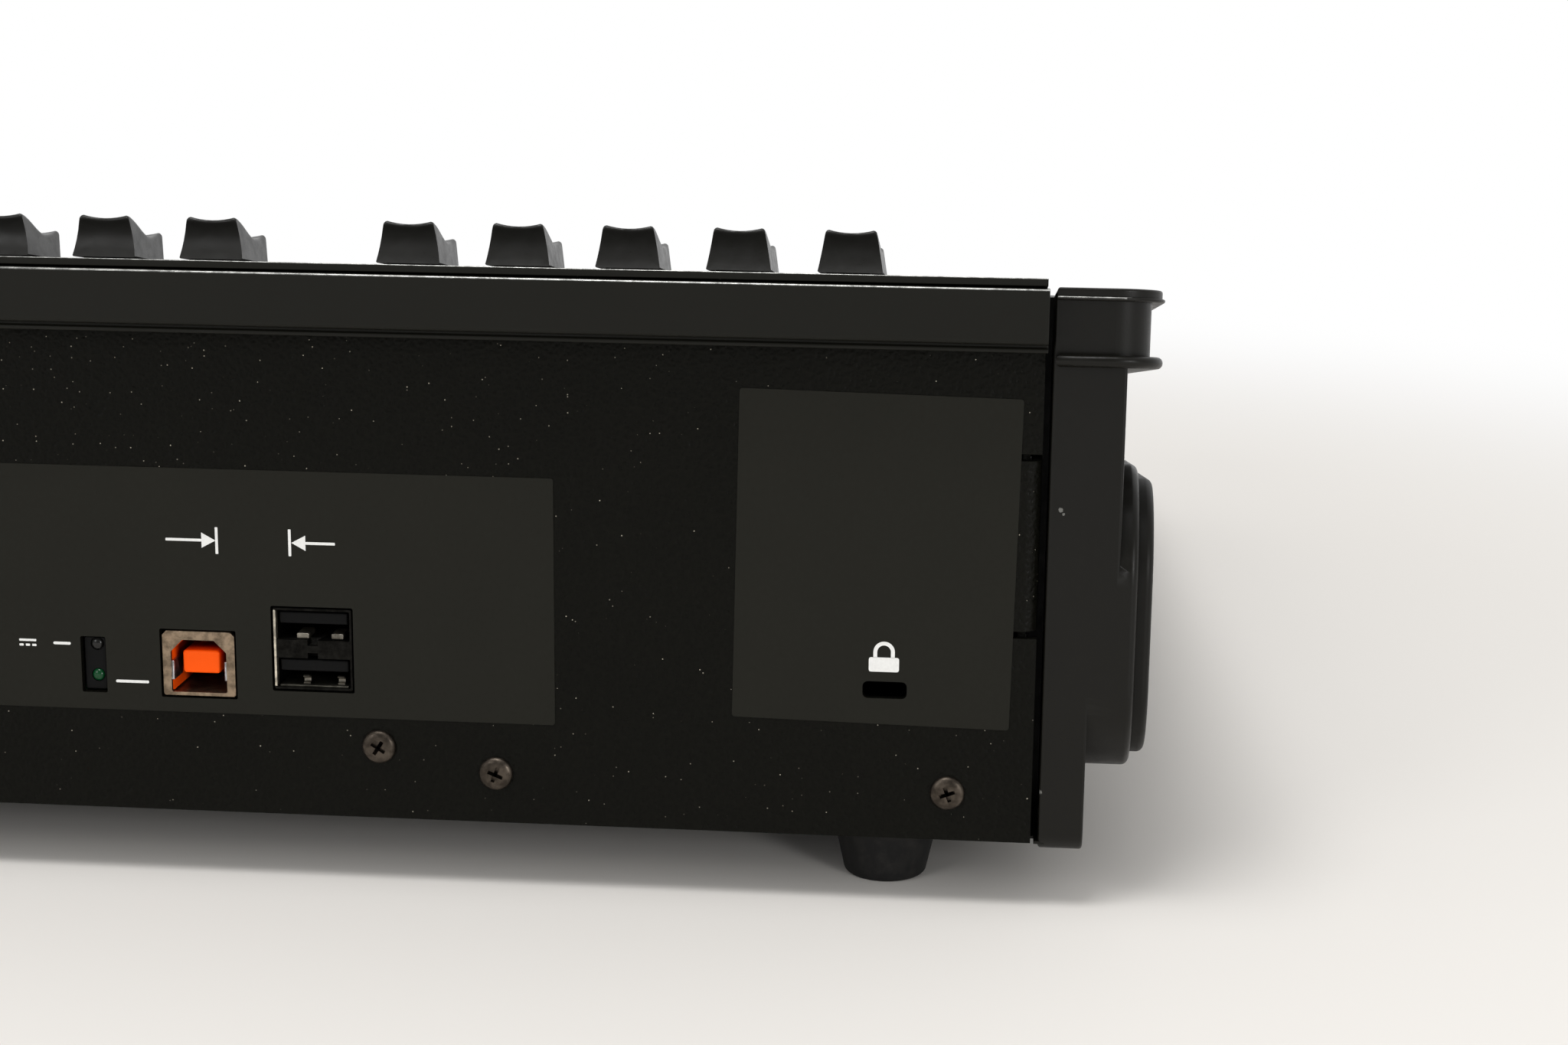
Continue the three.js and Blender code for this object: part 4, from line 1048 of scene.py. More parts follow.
# Angles of small rings and large ones, which stop one step short of a full turn
SMALL_RING = (0, 345, 23)
LARGE_RING = (0, 352.5, 47)


def on_panel(x, z, y):
    """Places an outline drawn along X and Z, its depth forward from the panel's rear face."""
    return (x, REAR_PLANE - y, z)


def across_panel(along):
    return along * MM - HOUSING_HALF


def up(height):
    return PAN_BOTTOM + height * MM


def plain_block(name, low, high):
    """The mesh of a block between two corners."""
    bm = bmesh.new()
    box_mesh(bm, low, high)
    return mesh_of(bm, name)


def panel_cutter(name, points, start, end):
    """The mesh of an outline on the panel's face, extruded between two depths."""
    bm = bmesh.new()
    prism(bm, points, start, end, on_panel)
    return mesh_of(bm, name)


def upright(left, bottom, right, top, radius, steps):
    """Outline of an upright rectangle with round corners."""
    corners = ((left, bottom), (right, bottom), (right, top), (left, top))
    return outline([(*corner, radius) for corner in corners], steps)


def on_plate(left, bottom, right, top, radius, steps=3):
    """An upright rectangle in millimetres along the panel and up it."""
    return upright(across_panel(left), up(bottom), across_panel(right), up(top), radius * MM, steps)


def soft_block(bm, low, high, corner, edge):
    """Adds a block along Y with round corners seen from the rear and a round edge at its rear end."""
    section = upright(low[0], low[2], high[0], high[2], corner, 4)
    soft_prism(bm, section, REAR_PLANE - high[1], REAR_PLANE - low[1], (edge, 0), on_panel, 3)


class WING_OT_square_socket(bpy.types.Operator):
    """Builds the square socket's plated shell with its side springs and its tongued insert"""

    bl_idname = "wing.square_socket"
    bl_label = "Square socket"

    mouth_width: measure("Mouth width", 9.2, "Width of the mouth")
    mouth_height: measure("Mouth height", 8.75, "Height of the mouth")
    mouth_rise: measure("Mouth rise", 0.65, "Mouth's lower edge over the shell's underside")
    chamfer: measure("Chamfer", 2, "Cut of the mouth's corners")
    skin: measure("Skin", 0.45, "Thickness of the shell")
    tongue_width: measure("Tongue width", 6.1, "Tongue's width")
    tongue_height: measure("Tongue height", 3.8, "Tongue's height")

    depth = 12 * MM
    tongue_rise = 3.5 * MM
    spring_rise = 1.95 * MM
    spring_height = 3.2 * MM

    def execute(self, context):
        low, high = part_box("usb_b_shell")
        middle = (low.x + high.x) / 2
        self.shell(low, high, middle)
        self.insert(low, high, middle)
        return {"FINISHED"}

    def mouth(self, low, middle):
        half, cut = self.mouth_width / 2, self.chamfer
        bottom = low.z + self.mouth_rise
        top = bottom + self.mouth_height
        corners = (
            (middle - half, bottom), (middle + half, bottom), (middle + half, top - cut),
            (middle + half - cut, top), (middle - half + cut, top), (middle - half, top - cut),
        )
        return outline([(*corner, 0.35 * MM) for corner in corners], 4)

    def shell(self, low, high, middle):
        bm = bmesh.new()
        corner = 0.45 * MM
        cut_corner = 0.75 * MM
        section = outline([
            (low.x, low.z, corner), (high.x, low.z, corner),
            (high.x, high.z - cut_corner, corner / 2), (high.x - cut_corner, high.z, corner / 2),
            (low.x + cut_corner, high.z, corner / 2), (low.x, high.z - cut_corner, corner / 2),
        ], 4)
        soft_prism(bm, section, 0, REAR_PLANE - low.y, (0.16 * MM, 0), on_panel, 3)
        inside_low = (low.x + self.skin, low.y - OVERRUN, low.z + self.skin)
        inside_high = (high.x - self.skin, high.y - 0.6 * MM, high.z - self.skin)
        opening = panel_cutter("mouth", self.mouth(low, middle), -OVERRUN, REAR_PLANE - low.y - 1 * MM)
        bm = reopened(combined(mesh_of(bm, "square_shell"), [
            ("DIFFERENCE", plain_block("inside", inside_low, inside_high)),
            ("DIFFERENCE", opening),
        ]))
        before = set(bm.faces)
        for side in (-1, 1):
            edge = middle + side * self.mouth_width / 2
            bottom = low.z + self.mouth_rise + self.spring_rise
            inner, outer = sorted((edge - side * 0.45 * MM, edge + side * 0.15 * MM))
            soft_block(bm, (inner, REAR_PLANE - 4.5 * MM, bottom),
                       (outer, REAR_PLANE - 0.2 * MM, bottom + self.spring_height), 0.08 * MM, 0.14 * MM)
        painted_since(bm, before, 1)
        name = "square_socket_shell"
        add_piece(name, mesh_of(bm, name), ["plated", "lever"], nodes=["usb_b_shell"])

    def insert(self, low, high, middle):
        skin = self.skin + 0.3 * MM
        front = REAR_PLANE - 0.9 * MM
        body_high = (high.x - skin, front, high.z - skin)
        body = plain_block("insert", (low.x + skin, low.y, low.z + skin), body_high)
        hollow = panel_cutter("hollow", self.mouth(low, middle), -OVERRUN, self.depth)
        bm = reopened(combined(body, [("DIFFERENCE", hollow)]))
        tongue_low = low.z + self.tongue_rise
        soft_block(bm, (middle - self.tongue_width / 2, REAR_PLANE - self.depth - 1 * MM, tongue_low),
                   (middle + self.tongue_width / 2, REAR_PLANE - 1.4 * MM, tongue_low + self.tongue_height),
                   0.5 * MM, 0.35 * MM)
        mesh = weighted(mesh_of(bm, "square_socket_insert", 30))
        add_piece("square_socket_insert", mesh, "orange", nodes=["usb_b_insert"])
        contacts = bmesh.new()
        for side in (-1, 1):
            for level in (0.0, self.tongue_height):
                x = middle + side * 1.25 * MM
                z = tongue_low + level
                box_mesh(contacts, (x - 0.5 * MM, REAR_PLANE - 11 * MM, z - 0.07 * MM),
                         (x + 0.5 * MM, REAR_PLANE - 7 * MM, z + 0.07 * MM))
        mesh = rounded(mesh_of(contacts, "square_socket_contacts"), 0.05 * MM)
        add_piece("square_socket_contacts", mesh, "contact")


class WING_OT_flat_socket(bpy.types.Operator):
    """Builds the double flat socket: the shell with its lighter edge strip and springs, and the tongued
    insert
    """

    bl_idname = "wing.flat_socket"
    bl_label = "Double flat socket"

    port_width: measure("Port width", 12.2, "Width of a port")
    port_height: measure("Port height", 4.9, "Height of a port")
    port_spread: measure("Port spread", 7.9, "Distance between the ports' middles")

    tongue_half = 5.6 * MM
    tongue_height = 1.9 * MM
    floor_half = 5.7 * MM
    # Millimetres from the socket's middle: the springs' toward -X, the contacts' toward +X
    springs = (-1.74, 3.93)
    contacts = (-3.5, -1, 1, 3.5)

    def execute(self, context):
        low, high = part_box("usb_a_shell")
        middle = (low.x + high.x) / 2
        centre = (low.z + high.z) / 2
        levels = [centre - self.port_spread / 2, centre + self.port_spread / 2]
        self.shell(low, high, middle, centre, levels)
        self.insert(low, high, middle, levels)
        return {"FINISHED"}

    def shell(self, low, high, middle, centre, levels):
        bm = bmesh.new()
        soft_block(bm, low, (high.x, high.y - 0.03 * MM, high.z), 0.3 * MM, 0.12 * MM)
        half = self.port_width / 2
        cuts = []
        for level in levels:
            rise = self.port_height / 2
            port = upright(middle - half, level - rise, middle + half, level + rise, 0.2 * MM, 3)
            cuts.append(("DIFFERENCE", panel_cutter("port", port, -OVERRUN, REAR_PLANE - low.y + OVERRUN)))
        notch = 0.85 * MM
        edge = self.port_spread / 2 - self.port_height / 2
        for side in (-1, 1):
            z = centre + side * (edge - 0.9 * MM)
            lower, upper = sorted((z, centre + side * (edge + 1 * MM)))
            cuts.append(("DIFFERENCE", plain_block("notch", (middle - notch, REAR_PLANE - 1.6 * MM, lower),
                                                   (middle + notch, REAR_PLANE + OVERRUN, upper))))
        bm = reopened(combined(mesh_of(bm, "flat_shell"), cuts))
        before = set(bm.faces)
        # A lighter metal strip along the shell's edge at +X
        soft_block(bm, (high.x - 0.46 * MM, REAR_PLANE - 1.2 * MM, low.z + 0.5 * MM),
                   (high.x - 0.06 * MM, REAR_PLANE, high.z - 0.4 * MM), 0.1 * MM, 0.08 * MM)
        before = painted_since(bm, before, 1)
        floor = levels[0] - self.port_height / 2
        soft_block(bm, (middle - self.floor_half, REAR_PLANE - 6 * MM, floor - 0.1 * MM),
                   (middle + self.floor_half, REAR_PLANE - 0.35 * MM, floor + 0.34 * MM), 0.1 * MM, 0.3 * MM)
        before = painted_since(bm, before, 3)
        for place in self.springs:
            x = middle - place * MM
            z = levels[1] - self.port_height / 2 + 0.1 * MM
            soft_block(bm, (x - 1 * MM, REAR_PLANE - 4.5 * MM, z),
                       (x + 1 * MM, REAR_PLANE - 0.7 * MM, z + 0.92 * MM), 0.2 * MM, 0.12 * MM)
            x -= 0.35 * MM
            z = floor + 0.3 * MM
            radius = 0.75 * MM
            ring = arc(radius, 0, radius, -90, 120, 10) + arc(radius, 0, 0.5 * MM, 120, -90, 10)
            curl = [(REAR_PLANE - 0.5 * MM - a, z + radius + b) for a, b in ring]
            prism(bm, curl, x - 0.55 * MM, x + 0.55 * MM, lambda y, w, x: (x, y, w))
        painted_since(bm, before, 2)
        shell = mesh_of(bm, "flat_socket_shell")
        # The shell painted dark for its shade, a lighter strip at its +X edge, springs and a duller port
        # floor
        finishes = ["painted_shade_metal", "worn", "spring", "dull_metal"]
        add_piece("flat_socket_shell", shell, finishes, nodes=["usb_a_shell"])

    def insert(self, low, high, middle, levels):
        base_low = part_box("usb_a_insert")[0]
        back = base_low.y
        bm = bmesh.new()
        seat = low.z - 0.3 * MM
        soft_block(bm, (low.x, back, base_low.z), (high.x, back + 4 * MM, high.z), 0.3 * MM, 0.1 * MM)
        soft_block(bm, (low.x, back + 3.9 * MM, base_low.z), (high.x, REAR_PLANE - 1.8 * MM, seat),
                   0.2 * MM, 0.1 * MM)
        for level in levels:
            top = level + self.port_height / 2 - 0.5 * MM
            soft_block(bm, (middle - self.tongue_half, back + 2 * MM, top - self.tongue_height),
                       (middle + self.tongue_half, REAR_PLANE - 1 * MM, top), 0.25 * MM, 0.25 * MM)
        mesh = weighted(mesh_of(bm, "flat_socket_insert", 30))
        add_piece("flat_socket_insert", mesh, "black", nodes=["usb_a_insert"])
        bm = bmesh.new()
        for level in levels:
            z = level + self.port_height / 2 - 2.4 * MM
            for place in self.contacts:
                x = middle + place * MM
                box_mesh(bm, (x - 0.5 * MM, REAR_PLANE - 9 * MM, z - 0.08 * MM),
                         (x + 0.5 * MM, REAR_PLANE - 2 * MM, z + 0.08 * MM))
        mesh = rounded(mesh_of(bm, "flat_socket_contacts"), 0.05 * MM)
        add_piece("flat_socket_contacts", mesh, "contact")


class WING_OT_lights_and_jack(bpy.types.Operator):
    """Builds the status lights with their lenses and the power jack with its pin"""

    bl_idname = "wing.lights_and_jack"
    bl_label = "Status lights and power jack"

    lens_radius: measure("Lens radius", 1, "Radius of a lens")
    jack_bore: measure("Jack bore", 3.2, "Radius of the bore")
    jack_collar: measure("Jack collar", 4.4, "Radius of the collar")

    # Height of a lens's dome as a share of its radius, and how deep the lens stands in its well
    lens_dome = 0.62
    lens_root = 1.2 * MM

    def execute(self, context):
        self.lights()
        self.jack()
        return {"FINISHED"}

    def lights(self):
        low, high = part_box("status_lights")
        face = high.y - 0.5 * MM
        middle = across_panel(LIGHTS_MIDDLE)
        levels = [up(level) for level in LIGHT_LEVELS]
        bm = bmesh.new()
        soft_block(bm, low, (high.x, face, high.z), 0.3 * MM, 0.2 * MM)
        wells = []
        depth = REAR_PLANE - face
        for level in levels:
            ring = arc(middle, level, self.lens_radius + 0.12 * MM, *SMALL_RING)
            wells.append(("DIFFERENCE", panel_cutter("well", ring, depth - 1 * MM, depth + 0.35 * MM)))
        holder = combined(mesh_of(bm, "light_holder"), wells)
        add_piece("light_holder", holder, "black", nodes=["status_lights"])
        radius = self.lens_radius
        for level, name, glass in zip(levels, ("lower", "upper"), ("green", "clear")):
            bm = bmesh.new()
            angles = [math.radians(degrees) for degrees in range(0, 90, 10)]
            dome = [(radius * math.cos(a), radius * self.lens_dome * math.sin(a)) for a in angles]
            profile = [(0, -self.lens_root), (radius, -self.lens_root), *dome, (0, radius * self.lens_dome)]
            turned(bm, profile, (middle, face - 0.15 * MM, level), axis="Y", steps=32)
            add_piece("light_lens_" + name, mesh_of(bm, "lens", 50), glass)

    def jack(self):
        low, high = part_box("power_jack")
        middle, centre = across_panel(JACK_PLACE[0]), up(JACK_PLACE[1])
        face = REAR_PLANE - 1.8 * MM
        bm = bmesh.new()
        soft_block(bm, low, (high.x, face, high.z), 0.5 * MM, 0.25 * MM)
        collar = bmesh.new()
        ring = arc(middle, centre, self.jack_collar, *LARGE_RING)
        soft_prism(collar, ring, 0, 4 * MM, (0.3 * MM, 0), on_panel, 3)
        bore = panel_cutter("bore", arc(middle, centre, self.jack_bore, *LARGE_RING), -OVERRUN, 9.5 * MM)
        bm = reopened(combined(mesh_of(bm, "jack_body"), [
            ("UNION", mesh_of(collar, "collar")), ("DIFFERENCE", bore),
        ]))
        before = set(bm.faces)
        pin = arc(middle, centre, 1 * MM, *SMALL_RING)
        soft_prism(bm, pin, 1.5 * MM, 10 * MM, (0.5 * MM, 0), on_panel, 4)
        painted_since(bm, before, 1)
        body = mesh_of(bm, "power_jack_body")
        add_piece("power_jack_body", body, ["black", "lever"], nodes=["power_jack"])


class WING_OT_plates(bpy.types.Operator):
    """Sticks the two film plates on the rear panel and prints the signs on them"""

    bl_idname = "wing.plates"
    bl_label = "Plates and signs"

    tilt: FloatProperty(name="Tilt", default=0.0165, description="How far the end plate is stuck on askew",
                        subtype="ANGLE")

    def execute(self, context):
        sizes = context.scene.wing_sizes
        film = sizes.film_thickness
        self.plate("end_plate", END_PLATE, film, [on_plate(*LOCK_SLOT, 0.84, 4)], self.tilt)
        gap = 0.3 * MM
        windows = []
        for node in ("usb_b_shell", "usb_a_shell"):
            low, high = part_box(node)
            windows.append(upright(low.x - gap, low.z - gap, high.x + gap, high.z + gap, gap, 3))
        windows.append(on_plate(*LIGHTS_WINDOW, 0.3))
        windows.append(arc(across_panel(JACK_PLACE[0]), up(JACK_PLACE[1]), 4.8 * MM, *LARGE_RING))
        self.plate("socket_plate", SOCKET_PLATE, film, windows, 0.0)
        self.signs(film, sizes.print_thickness)
        return {"FINISHED"}

    def plate(self, name, extent, film, windows, tilt):
        (a, b), (low, high) = extent
        middle = Vector((across_panel((a + b) / 2), up((low + high) / 2)))
        turn = Matrix.Rotation(tilt, 2)
        corners = []
        for x, z in ((a, low), (b, low), (b, high), (a, high)):
            place = turn @ (Vector((across_panel(x), up(z))) - middle) + middle
            corners.append((place.x, place.y, 0.5 * MM))
        bm = bmesh.new()
        soft_prism(bm, outline(corners, 5), -film, 0, (film * 0.4, 0), on_panel, 2)
        cuts = [("DIFFERENCE", panel_cutter("window", window, -OVERRUN, OVERRUN)) for window in windows]
        add_piece(name, combined(mesh_of(bm, name), cuts), "film")

    def signs(self, film, ink):
        """Prints plain pictures: a padlock, arrows, pointers at the lights and a current sign."""
        bm = bmesh.new()

        def flat(points):
            prism(bm, points, -film - ink, -film + 0.2 * ink, on_panel)

        def bar(a, b, low, high, radius=0.1):
            flat(on_plate(a, low, b, high, radius))

        bar(143.3, 148.8, 21.42, 21.88, 0.2)
        bar(156.1, 159.0, 27.47, 27.93, 0.2)
        bar(161.85, 164.7, 27.86, 28.24)
        for start in (161.85, 162.92, 163.99):
            bar(start, start + 0.71, 27.06, 27.42)
        bar(21.5, 26.3, 27.6, 29.95, 0.35)
        middle, spring = across_panel(23.9), up(30.85)
        outer = arc(middle, spring, 1.7 * MM, 180, 0, 14)
        inner = arc(middle, spring, 1.08 * MM, 0, 180, 14)
        foot = up(29.9)
        feet = [(curve[end][0], foot) for curve in (outer, inner) for end in (0, -1)]
        flat([feet[0], *outer, feet[1], feet[2], *inner, feet[3]])
        for start, end, tray in ARROWS:
            self.arrow(flat, bar, start, end, tray)
        mesh = mesh_of(bm, "printed_signs")
        add_piece("printed_signs", mesh, "marks")

    def arrow(self, flat, bar, start, end, tray):
        """An arrow between two places along the panel, with a tray round one end of it."""
        level = ARROW_LEVEL
        lead, half_tip, half_line, half_tray = math.copysign(2.3, end - start), 1.25, 0.22, 2.2
        bar(min(start, end - lead), max(start, end - lead), level - half_line, level + half_line)
        tip = [(end, level), (end - lead, level + half_tip), (end - lead, level - half_tip)]
        flat([(across_panel(a), up(z)) for a, z in tip])
        away = math.copysign(0.45, tray - 125)
        bar(min(tray, tray + away) - 0.4, max(tray, tray + away) - 0.4, level - half_tray, level + half_tray)


class WING_OT_screws(bpy.types.Operator):
    """Instances cross-recessed screw heads on the rear panel and in the feet"""

    bl_idname = "wing.screws"
    bl_label = "Screws"

    def execute(self, context):
        size = context.scene.wing_sizes.screw_head
        width = 2 * HOUSING_HALF / MM
        mirrored = [(width - along, height) for along, height in END_SCREWS]
        places = [*END_SCREWS, MIDDLE_SCREW, *mirrored]
        panel = [(across_panel(along), -up(height), 0) for along, height in places]
        stand = Matrix.Translation((0, REAR_PLANE, 0)) @ Matrix.Rotation(-math.pi / 2, 4, "X")
        self.heads("panel_screws", panel, size, stand, 11)
        feet = []
        for node in FOOT_NODES:
            low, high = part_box(node)
            feet.append(((low.x + high.x) / 2, -(low.y + high.y) / 2, 0))
        stand = Matrix.Translation((0, 0, 5 * MM)) @ Matrix.Rotation(math.pi, 4, "X")
        self.heads("foot_screws", feet, size, stand, 5)
        return {"FINISHED"}

    def heads(self, name, places, size, stand, seed):
        modifier_inputs = {
            "Head": size, "Rise": size * HEAD_RISE, "Recess": size * HEAD_RECESS, "Seed": seed,
        }
        mesh = scattered(name, places, screw_tree(), modifier_inputs)
        mesh.transform(stand)
        add_piece(name, mesh, "screw")


class WING_OT_scales(bpy.types.Operator):
    """Instances the printed scale lines beside the fader slots"""

    bl_idname = "wing.scales"
    bl_label = "Scale lines"

    lines: IntProperty(name="Lines", default=11, min=2, description="Lines beside each slot")
    line_length: measure("Line length", 2.2, "Length of a line")
    line_width: measure("Line width", 0.3, "Width of a line")
    gap: measure("Gap", 4.2, "From the slot's middle to a line")

    def execute(self, context):
        places = [(*fader_place(label), 0) for label in FADER_LABELS]
        inputs = {
            "Lines": self.lines, "Spacing": FADER_TRAVEL / (self.lines - 1), "Length": self.line_length,
            "Width": self.line_width, "Gap": self.gap, "Ink": context.scene.wing_sizes.print_thickness,
        }
        mesh = scattered("scale_lines", places, scale_tree(), inputs)
        mesh.transform(DECK_FRAME)
        add_piece("scale_lines", mesh, "scale")
        return {"FINISHED"}


def scattered(name, places, tree, values):
    """The plain mesh that a geometry tree makes on the given points."""
    points = bpy.data.meshes.new(name)
    points.from_pydata(places, [], [])
    carrier = linked(name + "_carrier", points)
    modifier = carrier.modifiers.new("tree", "NODES")
    modifier.node_group = tree
    for item in tree.interface.items_tree:
        if item.item_type == "SOCKET" and item.in_out == "INPUT" and item.name in values:
            modifier[item.identifier] = values[item.name]
    return mesh_of(reopened(applied(carrier)), name, 40)


def new_tree(name, inputs):
    """A geometry tree with named inputs, its graph, and its input and output nodes."""
    tree = bpy.data.node_groups.new(name, "GeometryNodeTree")
    tree.interface.new_socket("Geometry", in_out="INPUT", socket_type="NodeSocketGeometry")
    tree.interface.new_socket("Geometry", in_out="OUTPUT", socket_type="NodeSocketGeometry")
    for label, kind in inputs:
        tree.interface.new_socket(label, in_out="INPUT", socket_type=kind)
    graph = Graph(tree)
    return tree, graph, graph.add("NodeGroupInput").outputs, graph.add("NodeGroupOutput")


def finished(graph, instances, output, finish_name):
    """Ends a tree with realised instances and their material."""
    real = graph.add("GeometryNodeRealizeInstances", Geometry=instances)
    painted = graph.add("GeometryNodeSetMaterial", Geometry=real.outputs["Geometry"])
    painted.inputs["Material"].default_value = Finishes.get(finish_name)
    graph.tree.links.new(painted.outputs["Geometry"], output.inputs["Geometry"])


def moved(graph, shape, joined, turn=0.0, **shift):
    """Adds a shape of a geometry tree to a join, shifted and turned about its height."""
    node = graph.add("GeometryNodeTransform", Geometry=shape, Translation=graph.vector(**shift),
                     Rotation=(0, 0, turn))
    graph.tree.links.new(node.outputs["Geometry"], joined.inputs["Geometry"])


def on_points(graph, points, instance, **inputs):
    """Instances of a shape on points."""
    node = graph.add("GeometryNodeInstanceOnPoints", Points=points, Instance=instance, **inputs)
    return node.outputs["Instances"]


def screw_tree():
    """A domed head in rings of falling width, cut by a cross recess, turned at random on each point."""
    tree, graph, given, output = new_tree("screw_head", [
        ("Head", "NodeSocketFloat"), ("Rise", "NodeSocketFloat"), ("Recess", "NodeSocketFloat"),
        ("Seed", "NodeSocketInt"),
    ])

    def share_of(name, share):
        return graph.math("MULTIPLY", given[name], share)

    joined = graph.add("GeometryNodeJoinGeometry")
    levels = [(0.0, 1.0), (0.3, 0.985), (0.62, 0.92), (0.85, 0.8), (0.96, 0.62), (1.0, 0.4)]
    for (low, wide), (high, narrow) in zip(levels, levels[1:]):
        radius = share_of("Head", 0.5)
        cone = graph.add("GeometryNodeMeshCone", Vertices=48, Side_Segments=1,
                         Depth=share_of("Rise", high - low),
                         Radius_Bottom=graph.math("MULTIPLY", radius, wide),
                         Radius_Top=graph.math("MULTIPLY", radius, narrow))
        cone.fill_type = "NONE"
        moved(graph, cone.outputs["Mesh"], joined, Z=share_of("Rise", low))
    for height, share in ((0.0, 1.0), (1.0, 0.4)):
        lid = graph.add("GeometryNodeMeshCircle", Vertices=48, Radius=share_of("Head", share / 2))
        lid.fill_type = "NGON"
        moved(graph, lid.outputs["Mesh"], joined, Z=share_of("Rise", height))
    merged = graph.add("GeometryNodeMergeByDistance", Geometry=joined.outputs["Geometry"],
                       Distance=0.0005 * MM)
    arms = graph.add("GeometryNodeJoinGeometry")
    for turn in (0, math.pi / 2):
        size = graph.vector(X=given["Recess"], Y=share_of("Recess", 0.24), Z=share_of("Rise", 1.5))
        arm = graph.add("GeometryNodeMeshCube", Size=size)
        moved(graph, arm.outputs["Mesh"], arms, turn, Z=share_of("Rise", 0.95))
    recessed = graph.tree.nodes.new("GeometryNodeMeshBoolean")
    recessed.operation = "DIFFERENCE"
    recessed.solver = "EXACT"
    graph.tree.links.new(merged.outputs["Geometry"], recessed.inputs["Mesh 1"])
    graph.tree.links.new(arms.outputs["Geometry"], recessed.inputs["Mesh 2"])
    recessed.inputs["Self Intersection"].default_value = True
    spin = graph.tree.nodes.new("FunctionNodeRandomValue")
    spin.data_type = "FLOAT"
    graph.tree.links.new(given["Seed"], next(s for s in spin.inputs if s.name == "Seed"))
    angle = graph.math("MULTIPLY", next(s for s in spin.outputs if s.enabled), math.pi)
    placed = on_points(graph, given["Geometry"], recessed.outputs["Mesh"], Rotation=graph.vector(Z=angle))
    finished(graph, placed, output, "screw")
    return tree


def scale_tree():
    """Two rows of short lines beside each point's slot, every fifth of them longer."""
    tree, graph, given, output = new_tree("scale_lines", [
        ("Lines", "NodeSocketInt"), ("Spacing", "NodeSocketFloat"), ("Length", "NodeSocketFloat"),
        ("Width", "NodeSocketFloat"), ("Gap", "NodeSocketFloat"), ("Ink", "NodeSocketFloat"),
    ])
    row = graph.add("GeometryNodeMeshLine", Count=given["Lines"], Offset=graph.vector(Y=given["Spacing"]))
    index = graph.tree.nodes.new("GeometryNodeInputIndex").outputs["Index"]
    is_long = graph.math("LESS_THAN", graph.math("MODULO", index, 5), 0.5)
    stretch = graph.math("ADD", 1.0, graph.math("MULTIPLY", is_long, 0.55))
    joined = graph.add("GeometryNodeJoinGeometry")
    for side in (-1, 1):
        size = graph.vector(X=given["Length"], Y=given["Width"], Z=given["Ink"])
        line = graph.add("GeometryNodeMeshCube", Size=size).outputs["Mesh"]
        reach = graph.math("MULTIPLY", graph.math("MULTIPLY", given["Length"], 0.5), side)
        root = graph.vector(X=reach, Z=graph.math("MULTIPLY", given["Ink"], 0.5))
        rooted = graph.add("GeometryNodeTransform", Geometry=line, Translation=root).outputs["Geometry"]
        lines = on_points(graph, row.outputs["Mesh"], rooted, Scale=graph.vector(X=stretch, Y=1.0, Z=1.0))
        moved(graph, lines, joined, X=graph.math("MULTIPLY", given["Gap"], side))
    finished(graph, on_points(graph, given["Geometry"], joined.outputs["Geometry"]), output, "scale")
    return tree


class WING_OT_boards(bpy.types.Operator):
    """Finishes the two circuit boards inside the housing"""

    bl_idname = "wing.boards"
    bl_label = "Circuit boards"

    def execute(self, context):
        for node, finish in (("socket_board", "board"), ("fader_board", "slide_board")):
            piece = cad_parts[node]
            if not piece.material_slots:
                piece.data.materials.append(None)
            piece.material_slots[0].link = "OBJECT"
            piece.material_slots[0].material = Finishes.get(finish)
        return {"FINISHED"}


# Faders and keys


def fader_place(label):
    """(x, y) of a cap's middle at zero in the deck's frame."""
    low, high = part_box("fader_" + label)
    return (low.x + high.x) / 2, -ROW_ZEROS[label.split("_")[0]]


